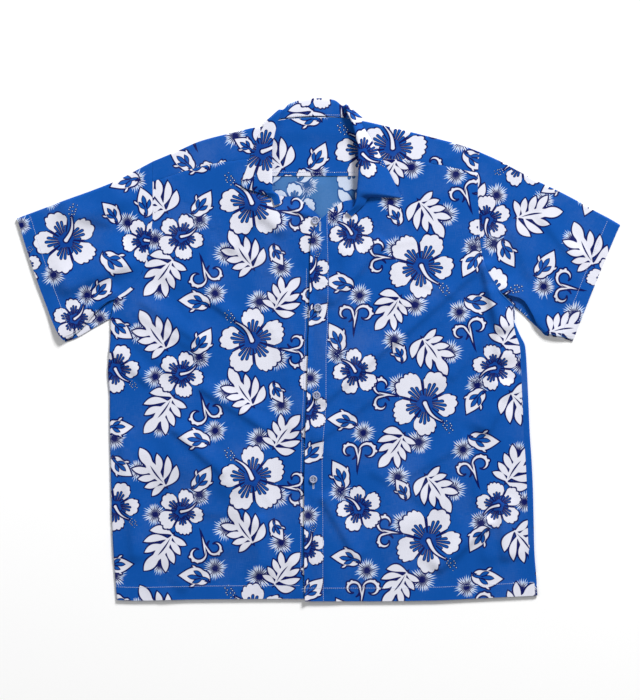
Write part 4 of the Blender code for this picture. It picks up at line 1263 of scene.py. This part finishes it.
# %% [markdown]
# The repeat
#
# A print repeats on the bolt. Every row below places one motif in the repeat. For each kind of motif the node
# tree finds the nearest row: the distance to a row is taken with the place wrapped into the repeat, divided by the
# motif's size. So each kind of motif has to be drawn only once, wherever it stands.

# %% Motifs in the repeat
REPEAT = (697.5, 213.0)  # millimetres
# Columns: x, y, axis in degrees, size. A flower's size is its radius, another motif's half its length. The rows
# count in cells of 1.55 mm.
FLOWERS = ((0, -0.5, 132, 32.5), (-70.5, -34, 30, 22.5), (-136.5, -29, -43, 24), (69, -34.5, -42, 22.5),
           (194, -20.8, 53, 31), (171.4, -96.6, 33, 20.5), (266.6, -51.5, -13, 21), (142.2, -27.2, 37, 20))
LEAVES = ((-11.2, -46.4, 122.4, 21), (-99.2, 10.8, 124.3, 22), (-93.7, -75.4, 231, 22), (35.4, -90.8, 51, 19.5))
BUDS = ((-49.5, -1.5, 55, 13), (-57, -99, 174, 13.7), (25, -52.5, -60, 10), (82.5, 14.5, -8, 13),
        (87, -69, -65, 13), (-131, 10.5, -40, 12), (-133, -87, 0, 12), (246.4, -13.3, 107, 11),
        (230.6, -61.5, -51, 15), (208.4, -79.8, 27, 12), (281.3, -16.7, 82, 13), (271.1, 10.4, 177, 13))
BURSTS = ((-25.8, -50.8, 0, 15), (7.5, -99.2, 0, 15.5), (-52.5, -17.5, 0, 14), (-96.7, -36.7, 0, 14),
          (-36.7, -90.8, 0, 14), (29.2, -65, 0, 14.5), (-113.3, 7.5, 0, 13.5), (25, -18.3, 0, 15),
          (-91.7, -86.7, 0, 13), (62.5, 27.5, 0, 14), (87, -52, 0, 13.5), (-137.5, -98.3, 0, 14),
          (257.3, -28.6, 0, 14), (192, -79.7, 0, 14), (169, -48, 0, 14), (280.8, 7.6, 0, 14), (158.6, 10.6, 0, 12),
          (194.4, -106.4, 0, 13), (194.7, 22.2, 0, 12))
SCROLLS = ((44, -10, 68, 14.5), (-45, -73.5, 0, 15), (68, -92.5, -22, 15))
print("motifs:", sum(map(len, (FLOWERS, LEAVES, BUDS, BURSTS, SCROLLS))))


# %% The nearest motif and the print
def nearest(tree, place, rows):
    """The place as seen from the nearest row, in parts of that row's size; z holds 1 / size in 1/mm."""
    best, kept = None, None
    for x, y, axis, size in rows:
        move = put(tree, "VectorMath", {0: place, 1: (x * CELL, y * CELL, -1.0)}, operation="SUBTRACT")
        wrapped = put(tree, "VectorMath", {0: move.outputs[0], 1: (REPEAT[0] / 2, REPEAT[1] / 2, 2.0),
                                           2: (-REPEAT[0] / 2, -REPEAT[1] / 2, 0.0)}, operation="WRAP")
        seen = put(tree, "Mapping", {"Vector": wrapped.outputs[0], "Rotation": (0.0, 0.0, math.radians(axis)),
                                     "Scale": (size * CELL,) * 3}, vector_type="TEXTURE").outputs[0]
        distance = Field(tree, put(tree, "VectorMath", {0: seen}, operation="LENGTH").outputs["Value"])
        if best is None:
            best, kept = distance, seen
            continue
        closer = distance.of("LESS_THAN", best)
        kept = put(tree, "Mix", {0: closer, 4: kept, 5: seen}, data_type="VECTOR").outputs[1]
        best = best.least(distance)
    return kept


def print_group(name, layers):
    """The ground, and over it each kind of motif in turn; the bolt's metres become millimetres first."""
    tree, coming, going = open_group(name, {"Bolt": "Vector", "Ground": "Color"}, {"Colour": "Color"})
    place = put(tree, "VectorMath", {0: coming["Bolt"], "Scale": 1 / MM}, operation="SCALE").outputs[0]
    colour = coming["Ground"]
    for motif, rows in layers:
        inputs = {"Place": nearest(tree, place, rows), "Under": colour}
        colour = put(tree, "Group", inputs, node_tree=motif).outputs["Colour"]
    feed(tree, going["Colour"], colour)
    return tree


island_print = print_group("island_print", (
    (burst, BURSTS), (scroll, SCROLLS), (bud, BUDS), (split_leaf, LEAVES), (hibiscus, FLOWERS)))
# The placket band comes from a part of the bolt where a flower, a bud and a burst stand in line.
band_print = print_group("band_print", (
    (burst, ((2, 32, 0, 14),)), (bud, ((7, -41.5, 43, 13),)), (hibiscus, ((0, 0, 68, 20.5),))))
print("print nodes:", len(island_print.nodes), "and", len(band_print.nodes))

# %% [markdown]
# Weave
#
# The cloth is a light plain weave: threads pass over and under each other in turn. The product of two sine waves
# gives the little pillows between the threads, and stretched noise makes some threads thicker than others.

# %% Weave group
WEAVE_PITCH = 0.9 * MM
SLUB_STRETCH = (90.0, 1400.0)  # thick places for each metre: along a thread and across it


def weave_group():
    """Height of the weave, and a shade that varies a little from thread to thread and over the whole cloth."""
    tree, coming, going = open_group("plain_weave", {"Bolt": "Vector"}, {"Height": "Float", "Shade": "Float"})
    bolt = coming["Bolt"]
    x, y, _ = split(tree, bolt)
    turns = 2 * math.pi / WEAVE_PITCH
    pillows = (x * turns).sin() * (y * turns).sin()

    def noise(place, scale, detail):
        """Soft noise over the cloth, from 0 to 1."""
        inputs = {"Vector": place, "Scale": scale, "Detail": detail}
        return Field(tree, put(tree, "TexNoise", inputs, noise_dimensions="2D").outputs[0])

    slubs = [noise(put(tree, "VectorMath", {0: bolt, 1: stretch}, operation="MULTIPLY").outputs[0], 1.0, 1.0)
             for stretch in ((*SLUB_STRETCH, 1.0), (*SLUB_STRETCH[::-1], 1.0))]
    threads = slubs[0] + slubs[1] - 1.0
    feed(tree, going["Height"], pillows * 0.5 + threads)
    feed(tree, going["Shade"], threads * 0.10 + (noise(bolt, 14.0, 3.0) - 0.5) * 0.22 + pillows * 0.03)
    return tree


plain_weave = weave_group()
print("weave nodes:", len(plain_weave.nodes))

# %% [markdown]
# Printed cloth
#
# The right side shows the inks at full strength. The wrong side shows the same print paler, because the dye only
# partly goes through. Both read the UV map called bolt, which is each point's place on the roll of cloth.

# %% Cloth materials
WRONG_NAVY = linear(34, 78, 140)
WRONG_BLUE = linear(62, 112, 170)
WRONG_WHITE = linear(196, 208, 228)
THREAD_SHADE, THREAD_LIGHT = (0.0, 0.004, 0.05, 1.0), (0.75, 0.85, 1.0, 1.0)


def bumped(tree, shader, height, strength, depth):
    """Fine relief on a shader's normal, from a height between 0 and 1 times the depth."""
    bump = put(tree, "Bump", {"Height": height, "Strength": strength, "Distance": depth})
    feed(tree, shader.inputs["Normal"], bump.outputs[0])


def cloth_finish(name, pattern, wrong=False):
    """Printed cloth; on the wrong side the strength of green sorts the inks into their paler selves."""
    made, tree, shader = new_finish(name)
    bolt = put(tree, "UVMap", {}, uv_map="bolt").outputs[0]
    colour = put(tree, "Group", {"Bolt": bolt, "Ground": DYE_BLUE}, node_tree=pattern).outputs["Colour"]
    weave = put(tree, "Group", {"Bolt": bolt}, node_tree=plain_weave)
    if wrong:
        green = Field(tree, put(tree, "SeparateColor", {0: colour}).outputs["Green"])
        colour = inked(tree, WRONG_NAVY, WRONG_BLUE, green.rise(0.005, 0.08))
        colour = inked(tree, colour, WRONG_WHITE, green.rise(0.1, 0.7))
    shade = Field(tree, weave.outputs["Shade"])
    colour = inked(tree, colour, THREAD_SHADE, shade.most(0.0))
    colour = inked(tree, colour, THREAD_LIGHT, (shade * -0.35).most(0.0))
    feed(tree, shader.inputs["Base Color"], colour)
    feed(tree, shader.inputs["Roughness"], 0.66 + shade * 0.5)
    shader.inputs["Specular IOR Level"].default_value = 0.07
    shader.inputs["Sheen Weight"].default_value = 0.03
    shader.inputs["Sheen Roughness"].default_value = 0.45
    bumped(tree, shader, weave.outputs["Height"], 0.25, 0.2 * MM)
    return made


right_side = cloth_finish("printed_cloth", island_print)
wrong_side = cloth_finish("printed_cloth_wrong_side", island_print, wrong=True)
band_side = cloth_finish("printed_band", band_print)
print("cloth materials:", right_side.name, wrong_side.name)

# %% [markdown]
# From a grid to cloth
#
# Each grid is the middle of the cloth. Solidify gives it a wall, with the wrong side of the cloth as a second
# material on its inner shell, and the sharp rim is marked so that it shades as an edge. The UV map holds each
# point's place on the bolt of printed cloth, in metres, so that the print follows the cut of every piece.

# %% Cloth maker
RIM_ANGLE = math.radians(50)


def corners(values):
    """The four corner values of every quad of a grid, in the order of its outline."""
    return np.stack([values[:-1, :-1], values[:-1, 1:], values[1:, 1:], values[1:, :-1]], axis=2)


def cloth_piece(name, grid, flat, wall, outside, inside, stands_for):
    """A shell of the given wall on the grid; flat holds the places of its quads' corners on the bolt."""
    rows, columns = grid.shape[:2]
    quads = corners(np.arange(rows * columns).reshape(rows, columns, 1)).reshape(-1, 4)
    points = grid.reshape(-1, 3)
    whole = ~np.isnan(points[quads]).any(axis=(1, 2))
    quads, flat = quads[whole], flat.reshape(-1, 4, 2)[whole]
    used = np.unique(quads)
    lookup = np.full(len(points), -1)
    lookup[used] = np.arange(len(used))
    mesh = bpy.data.meshes.new(name)
    mesh.from_pydata((points[used] * MM).tolist(), [], lookup[quads].tolist())
    uv = mesh.uv_layers.new(name="bolt")
    uv.data.foreach_set("uv", (flat * MM).astype(np.float32).ravel())
    mesh.materials.append(outside)
    mesh.materials.append(inside)
    draft = new_object(name + "_draft", mesh)
    solid = draft.modifiers.new("wall", "SOLIDIFY")
    solid.thickness = wall * MM
    solid.offset = 0.0
    solid.material_offset = 1
    solid.material_offset_rim = 0
    bpy.context.view_layer.update()
    graph = bpy.context.evaluated_depsgraph_get()
    made = bpy.data.meshes.new_from_object(draft.evaluated_get(graph))
    bpy.data.objects.remove(draft)
    made.name = name
    made.shade_smooth()
    made.set_sharp_from_angle(angle=RIM_ANGLE)
    piece = new_object(name, made)
    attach(piece, "root")
    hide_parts(stands_for)
    return piece


print("a grid of 2 by 3 points has", corners(np.zeros((2, 3, 1))).shape[1], "quads")

# %% [markdown]
# The pieces
#
# Every piece was cut from its own place on the bolt, turned its own way. A row gives the angle in degrees and the
# point where the middle of the large flower would lie, in millimetres on the shirt. Cloth that turns round an edge
# is unrolled first, so that the print isn't squeezed there.

# %% Places on the bolt
BOLT_PLACES = {
    "front_right": (0.0, -103.1, 14.7), "front_left": (181.5, 165.1, -84.1), "placket": (-0.9, -16.6, -93.8),
    "sleeve_right": (23.0, -680.4, 81.5), "sleeve_left": (-117.0, 448.4, -17.1),
    "yoke": (208.5, -41.2, 263.8), "yoke_left": (-19.0, 115.2, 313.1),
    "collar": (-93.0, 126.3, 295.3), "collar_back": (12.0, 92.8, 481.6), "collar_left": (18.0, 257.4, 409.6),
    "back": (12.0, 100.6, 89.4), "yoke_inner": (6.5, 75.8, 309.8),
}


def on_bolt(points, place):
    """The points turned back by the piece's angle about its anchor."""
    angle, x, y = BOLT_PLACES[place]
    c, s = math.cos(math.radians(angle)), math.sin(math.radians(angle))
    away = points - [x, y]
    return np.stack([away[..., 0] * c + away[..., 1] * s, away[..., 1] * c - away[..., 0] * s], axis=-1)


def unrolled(grid, first, last):
    """Plan places for columns first to last, and beyond them the plan direction continued by true length."""
    flat = grid[..., :2].copy()
    for edge, step in ((last, 1), (first, -1)):
        beyond = grid[:, edge::step]
        if beyond.shape[1] == 1:
            continue
        heading = flat[:, edge] - flat[:, edge - step]
        heading /= np.maximum(np.linalg.norm(heading, axis=1, keepdims=True), 1e-6)
        run = np.cumsum(np.linalg.norm(np.diff(beyond, axis=1), axis=2), axis=1)
        flat[:, edge + step::step] = flat[:, edge][:, None] + heading[:, None] * run[..., None]
    return flat


print("places on the bolt:", len(BOLT_PLACES))


# %% Cut and lay every piece
def cut(node, grid, wall, outside, inside, first=0, last=-1):
    """Lay one piece of cloth, with its print unrolled beyond the given columns."""
    flat = on_bolt(unrolled(grid, first, last % grid.shape[1]), node)
    return cloth_piece(node + "_cloth", grid, corners(flat), wall, outside, inside, node)


PLY, BACK_WALL, PLACKET_WALL, COLLAR_WALL = 0.6, 0.8, 0.9, 1.2  # millimetres
strip = len(SIDE_SHARES)
right_place, left_place, back_place = front_right_grid(), front_left_grid(), back_grid()
placket_place, lining_place = placket_grid(), yoke_inner_grid()
sleeve_right_place = sleeve_grid(-1.0, ARMHOLE_RIGHT, 78, SLEEVE_TOP_RIGHT, CUFF_RIGHT, UNDERARM_RIGHT,
                                 TUCK_EDGE_RIGHT)
sleeve_left_place = sleeve_grid(1.0, ARMHOLE_LEFT, 88, SLEEVE_TOP_LEFT, CUFF_LEFT, UNDERARM_LEFT,
                                TUCK_EDGE_LEFT)[::-1]
front_right = cut("front_right", right_place, PLY, right_side, wrong_side, first=strip)
front_left = cut("front_left", left_place, PLY, right_side, wrong_side, last=-strip - 1)
back = cut("back", back_place, BACK_WALL, wrong_side, right_side, strip, -len(WRAP_REACH) - 1)
placket = cut("placket", placket_place, PLACKET_WALL, band_side, band_side)
yoke_inner = cut("yoke_inner", lining_place, PLY, right_side, wrong_side)
sleeve_right = cut("sleeve_right", sleeve_right_place, PLY, right_side, wrong_side)
sleeve_left = cut("sleeve_left", sleeve_left_place, PLY, right_side, wrong_side)
print("quads in the back:", len(back.data.polygons))

# %% Yoke and collar
def by_part(flats, bounds, places, axis):
    """Corner places on the bolt: the quads between two bounds all take the same place."""
    shape = [1, 1, 1, 1]
    shape[axis] = -1
    part = np.searchsorted(bounds, np.arange(flats[0].shape[axis] - 1), side="right").reshape(shape)
    return sum(np.where(part == k, corners(on_bolt(flat, place)), 0.0)
               for k, (flat, place) in enumerate(zip(flats, places)))


yoke_place = yoke_grid()
NECK_MIDDLE = SHOULDER_COLUMNS + NECK_COLUMNS // 2
yoke_flat = by_part([yoke_place[..., :2]] * 2, [NECK_MIDDLE], ["yoke", "yoke_left"], 1)
yoke = cloth_piece("yoke_cloth", yoke_place, yoke_flat, PLY, wrong_side, right_side, "yoke")

collar_place = collar_grid()
ROLL_COLUMN = len(STAND_SHARES)
SHOULDER_STATIONS = (70, 140)  # where the collar turns from lying on top to lying underneath
along_roll = collar_place[:, ROLL_COLUMN, :2]
heading = collar_place[:, -1, :2] - along_roll
heading /= np.linalg.norm(heading, axis=1, keepdims=True)
run = np.cumsum(np.linalg.norm(np.diff(collar_place, axis=1, prepend=collar_place[:, :1]), axis=2), axis=1)
run = (run - run[:, ROLL_COLUMN:ROLL_COLUMN + 1])[..., None]
fall_in_place, stand_in_place = (along_roll[:, None] + sign * heading[:, None] * run for sign in (1, -1))
collar_flat = by_part([fall_in_place, stand_in_place, fall_in_place], SHOULDER_STATIONS,
                      ["collar", "collar_back", "collar_left"], 0)
collar = cloth_piece("collar_cloth", collar_place, collar_flat, COLLAR_WALL, right_side, right_side, "collar")
print("collar stations:", len(collar_place))

# %% [markdown]
# Stitches
#
# A lockstitch shows as a row of short pale threads that sink into the cloth at both ends. Each one here is a
# spindle with four sides, laid from one needle hole to the next. Its place comes from the cloth itself: a line is
# kept at a fixed distance from an edge of the grid, and a ray straight down finds the top of the piece there.

# %% Stitch lines
STITCH = 2.5  # length of one stitch in millimetres
PITCH = 3.1  # from one stitch to the next


def parallel(grid, edge, distance):
    """Plan points at one distance from an edge, by straight lines between the two grid points on each side."""
    view = seen_from(grid, edge)
    away = from_edge(view)
    before = np.clip((away < distance).sum(axis=0) - 1, 0, len(view) - 2)
    column = np.arange(view.shape[1])
    near, far = away[before, column], away[before + 1, column]
    share = ((distance - near) / np.maximum(far - near, 1e-6))[:, None]
    return view[before, column, :2] * (1 - share) + view[before + 1, column, :2] * share


def on_cloth(piece, plan):
    """The points where rays straight down through the plan points meet the piece, in millimetres."""
    hits = [piece.ray_cast((x * MM, y * MM, 1.0), (0.0, 0.0, -1.0)) for x, y in plan.tolist()]
    return np.array([list(place) if hit else [math.nan] * 3 for hit, place, _, _ in hits]) / MM


def stitch_row(piece, plan, stitch=STITCH, pitch=PITCH):
    """First and last points of the stitches along a plan line, on the top of a piece."""
    run = lengths(plan)
    starts = np.arange(0.0, run[-1] - stitch, pitch)
    ends = [np.stack([np.interp(at, run, plan[:, k]) for k in range(2)], axis=1)
            for at in (starts, starts + stitch)]
    pairs = np.stack([on_cloth(piece, end) for end in ends], axis=1)
    return pairs[~np.isnan(pairs).any(axis=(1, 2))]


print("a stitch is", STITCH, "mm long")


# %% Thread maker
THREAD = 0.55  # thickness of the thread
RING_SHARES = (0.15, 0.85)  # where a spindle has its rings, in parts of its length
RING_LIFT = 0.35  # how far they stand up, in parts of its thickness


def spindles(pairs, width):
    """Points of four-sided spindles: tip, two rings, tip; the rings stand mostly on the cloth."""
    start, end = pairs[:, 0], pairs[:, 1]
    ahead = (end - start) / np.linalg.norm(end - start, axis=1, keepdims=True)
    side = np.cross(ahead, [0.0, 0.0, 1.0])
    side /= np.linalg.norm(side, axis=1, keepdims=True)
    up = np.cross(side, ahead)
    ring = np.stack([side, up, -side, -up], axis=1) * width / 2
    lift = up[:, None] * width * RING_LIFT
    rings = [(start + (end - start) * share)[:, None] + lift + ring for share in RING_SHARES]
    return np.concatenate([start[:, None], *rings, end[:, None]], axis=1)


SPINDLE_FACES = [face for k in range(4) for j in [(k + 1) % 4]
                 for face in ((0, 1 + k, 1 + j), (1 + k, 5 + k, 5 + j, 1 + j), (9, 5 + j, 5 + k))]


def thread_piece(name, pairs, width, finish):
    """All the spindles of one seam as one joined mesh that rides on the shirt."""
    points = spindles(pairs, width)
    faces = [tuple(10 * n + corner for corner in face) for n in range(len(points)) for face in SPINDLE_FACES]
    mesh = bpy.data.meshes.new(name)
    mesh.from_pydata((points.reshape(-1, 3) * MM).tolist(), [], faces)
    mesh.materials.append(finish)
    mesh.shade_smooth()
    piece = new_object(name, mesh)
    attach(piece, "root")
    print(name, "has", len(points), "stitches")
    return piece


print("a spindle has", len(SPINDLE_FACES), "faces")


# %% Thread
def thread_finish(name, pale, shaded):
    """Twisted thread: its own tone with fine slanting bands of painted shade where the strands twist, and a soft
    gloss.
    """
    made, tree, shader = new_finish(name)
    place = put(tree, "TexCoord", {}).outputs["Object"]
    twist = put(tree, "TexWave", {"Vector": place, "Scale": 900.0, "Distortion": 2.0}, bands_direction="DIAGONAL")
    band = Field(tree, twist.outputs["Fac"])
    # The shaded tone is painted shade: a darker copy of the thread's tone in the grooves of the twist.
    feed(tree, shader.inputs["Base Color"], inked(tree, pale, shaded, band))
    feed(tree, shader.inputs["Roughness"], band * 0.2 + 0.45)
    bumped(tree, shader, band, 0.3, 0.1 * MM)
    return made


# Each thread gets its own tone and a darker copy of it, as painted shade in the twist.
pale_thread = thread_finish("pale_thread", linear(222, 228, 243), linear(170, 188, 222))
# The buttonholes' slits are dark lines of painted shade where the cloth opens.
painted_slit_shade = thread_finish("painted_slit_shade", linear(20, 40, 110), linear(8, 20, 70))
bpy.context.view_layer.update()
print("threads:", pale_thread.name, "and", painted_slit_shade.name)

# %% [markdown]
# Where the shirt is stitched
#
# The hems are turned up twice and stitched about 20 mm from the edge, those of the sleeves too. The placket is
# stitched along its seam, the button stand beside the placket, and the neck and the inner yoke along their seams.

# %% Seams in thread
HEM_STITCH = 20.5
STAND_STITCH = 5.5  # outside the placket's free edge
SEAM_STITCH = 1.4  # inside the placket's seam
NECK_STITCH, LINING_STITCH = 3.4, 5.5  # above the neck edge and above the back seam
stand_line = flowing([(edge - STAND_STITCH, y) for y, _, edge in PLACKET[1:-2]], 6)
hem_line = parallel(right_place, "first", HEM_STITCH)
neck_line = along(NECK_BACK, np.linspace(0.25, 0.88, 40)) + [0.0, NECK_STITCH]
lining_line = np.linspace((-85, BACK_SEAM_Y), (80, BACK_SEAM_Y), 40) + [0.0, LINING_STITCH]
UNDER_BAND = -25  # beyond this x the placket covers the hem
seam_lines = (
    (front_right, hem_line[hem_line[:, 0] < UNDER_BAND]),
    (front_right, stand_line),
    (front_left, parallel(left_place, "first", HEM_STITCH)),
    (placket, parallel(placket_place, "first", HEM_STITCH)),
    (placket, parallel(placket_place, "right", SEAM_STITCH)),
    (sleeve_right, parallel(sleeve_right_place[:, FRONT_LAYER], "last", HEM_STITCH)),
    (sleeve_left, parallel(sleeve_left_place[:, FRONT_LAYER], "first", HEM_STITCH)),
    (collar, neck_line),
    (yoke_inner, lining_line),
)
stitched = {}
for piece, line in seam_lines:
    stitched.setdefault(piece, []).append(stitch_row(piece, line))
threads_on = {}
for piece, rows in stitched.items():
    name = piece.name.replace("cloth", "stitches")
    threads_on[piece] = [thread_piece(name, np.concatenate(rows), THREAD, pale_thread)]

# %% [markdown]
# Buttonholes
#
# A buttonhole is a slit edged with close stitches that lie across it, with a bar at each end. The three fastened
# ones show only below their buttons. The top one lies open on the placket. Each slit is a dark line of painted
# shade.

# %% Buttonholes
HOLE_PITCH = 0.55  # from one edge stitch to the next
HOLE_ABOVE, HOLE_BELOW = 2.5, 14.0  # ends of a fastened buttonhole, from the button's middle
SLIT, EDGE, BAR = 0.25, 1.45, 1.5  # half widths: the slit, its stitched edge and a bar
BUTTON_BOXES = [np.array(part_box(f"button_{number}")) / MM for number in range(1, 5)]
MIDDLES = [box.mean(axis=0) for box in BUTTON_BOXES]
# Columns: x, upper end, lower end.
HOLES = [(2.3, 198.0, 184.0)] + [(x, y + HOLE_ABOVE, y - HOLE_BELOW) for x, y, _ in MIDDLES[1:]]


def hole_stitches(x, upper, lower):
    """Stitches across both edges of an upright slit, and three longer ones at each end."""
    rise = np.arange(lower, upper, HOLE_PITCH)
    rows = [(side * SLIT, side * EDGE, y) for side in (-1, 1) for y in rise]
    rows += [(-BAR, BAR, end + k * HOLE_PITCH) for end in (lower, upper) for k in (-1, 0, 1)]
    near, far, y = np.array(rows).T
    pairs = np.stack([on_cloth(placket, np.stack([x + aside, y], axis=1)) for aside in (near, far)], axis=1)
    return pairs[~np.isnan(pairs).any(axis=(1, 2))]


edges = np.concatenate([hole_stitches(*row) for row in HOLES])
hole_threads = thread_piece("buttonhole_stitches", edges, 0.62, pale_thread)
# Each slit is a dark line down the middle of its hole: painted shade in the opening.
slits = [stitch_row(placket, np.array([(x, upper), (x, lower)]), 2.4, 2.0) for x, upper, lower in HOLES]
hole_slits = thread_piece("buttonhole_slits", np.concatenate(slits), 0.5, painted_slit_shade)
threads_on[placket] += [hole_threads, hole_slits]

# %% [markdown]
# Buttons
#
# The buttons are thin cast polyester, greyish and half clear, so clouds of a lighter tone run through them and
# their turned rims look paler. Two threads cross each button from hole to hole.

# %% Button finish and thread
RIM_FROM, RIM_TO = 4.4 * MM, 5.2 * MM  # from a button's middle


def button_finish():
    """Two greys mixed by stretched noise, and a paler rim round the nearest button's middle."""
    made, tree, shader = new_finish("cast_button")
    place = put(tree, "TexCoord", {}).outputs["Object"]
    stretched = put(tree, "Mapping", {"Vector": place, "Scale": (160.0, 420.0, 300.0)}).outputs[0]
    cloud = put(tree, "TexNoise", {"Vector": stretched, "Scale": 1.0, "Detail": 4.0, "Distortion": 1.2})
    x, y, _ = split(tree, place)
    out = [(x - at_x * MM).reach(y - at_y * MM) for at_x, at_y, _ in np.array(MIDDLES).tolist()]
    rim = out[0].least(*out[1:]).rise(RIM_FROM, RIM_TO)
    clouded = Field(tree, cloud.outputs[0]).rise(0.35, 0.7)
    colour = inked(tree, linear(104, 114, 150), linear(172, 178, 202), clouded)
    feed(tree, shader.inputs["Base Color"], inked(tree, colour, linear(206, 210, 224), rim * 0.6))
    feed(tree, shader.inputs["Roughness"], clouded * 0.15 + 0.18)
    shader.inputs["Coat Weight"].default_value = 0.4
    shader.inputs["Coat Roughness"].default_value = 0.12
    return made


cast_button = button_finish()
HOLE_OUT = 1.6  # the four holes lie this far from the middle in x and in y
DISH = 1.0  # depth of the threads below the rim: the dished middle and 0.1 mm
button_pairs = []
for number, (x, y, _) in enumerate(MIDDLES, 1):
    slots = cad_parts[f"button_{number}"].data.materials
    slots.clear()
    slots.append(cast_button)
    z = BUTTON_BOXES[number - 1][1][2] - DISH
    button_pairs += [[(x - HOLE_OUT, y + side, z), (x + HOLE_OUT, y + side, z)] for side in (-HOLE_OUT, HOLE_OUT)]
thread_piece("button_threads", np.array(button_pairs), 0.9, pale_thread)

# %% [markdown]
# The cuts
#
# Every piece of cloth has the size that it was cut to printed. Its width and length are the longest row and
# the longest column of its grid, and its area is the sum of its quads.

# %% Sheets
def cut_size(grid):
    """Longest row, longest column and area, in metres: a quad has half the cross product of its diagonals."""
    across = np.linalg.norm(np.nan_to_num(np.diff(grid, axis=1)), axis=2).sum(axis=1).max() * MM
    down = np.linalg.norm(np.nan_to_num(np.diff(grid, axis=0)), axis=2).sum(axis=0).max() * MM
    first, second = grid[1:, 1:] - grid[:-1, :-1], grid[1:, :-1] - grid[:-1, 1:]
    area = np.nansum(np.linalg.norm(np.cross(first, second), axis=2)) / 2 * MM * MM
    return float(across), float(down), float(min(area, across * down))


SHEETS = (
    (back, back_place, "floor"), (yoke, yoke_place, "floor"), (yoke_inner, lining_place, yoke),
    (front_right, right_place, back), (front_left, left_place, back), (placket, placket_place, front_right),
    (sleeve_right, sleeve_right_place, "floor"), (sleeve_left, sleeve_left_place, "floor"),
    (collar, collar_place, yoke),
)
for piece, grid, below in SHEETS:
    wide, long, area = cut_size(grid)
    print(piece.name, "cut:", round(wide * 1000), "x", round(long * 1000), "mm,", round(area, 3), "square metres")

# %% [markdown] The sizes and the finish
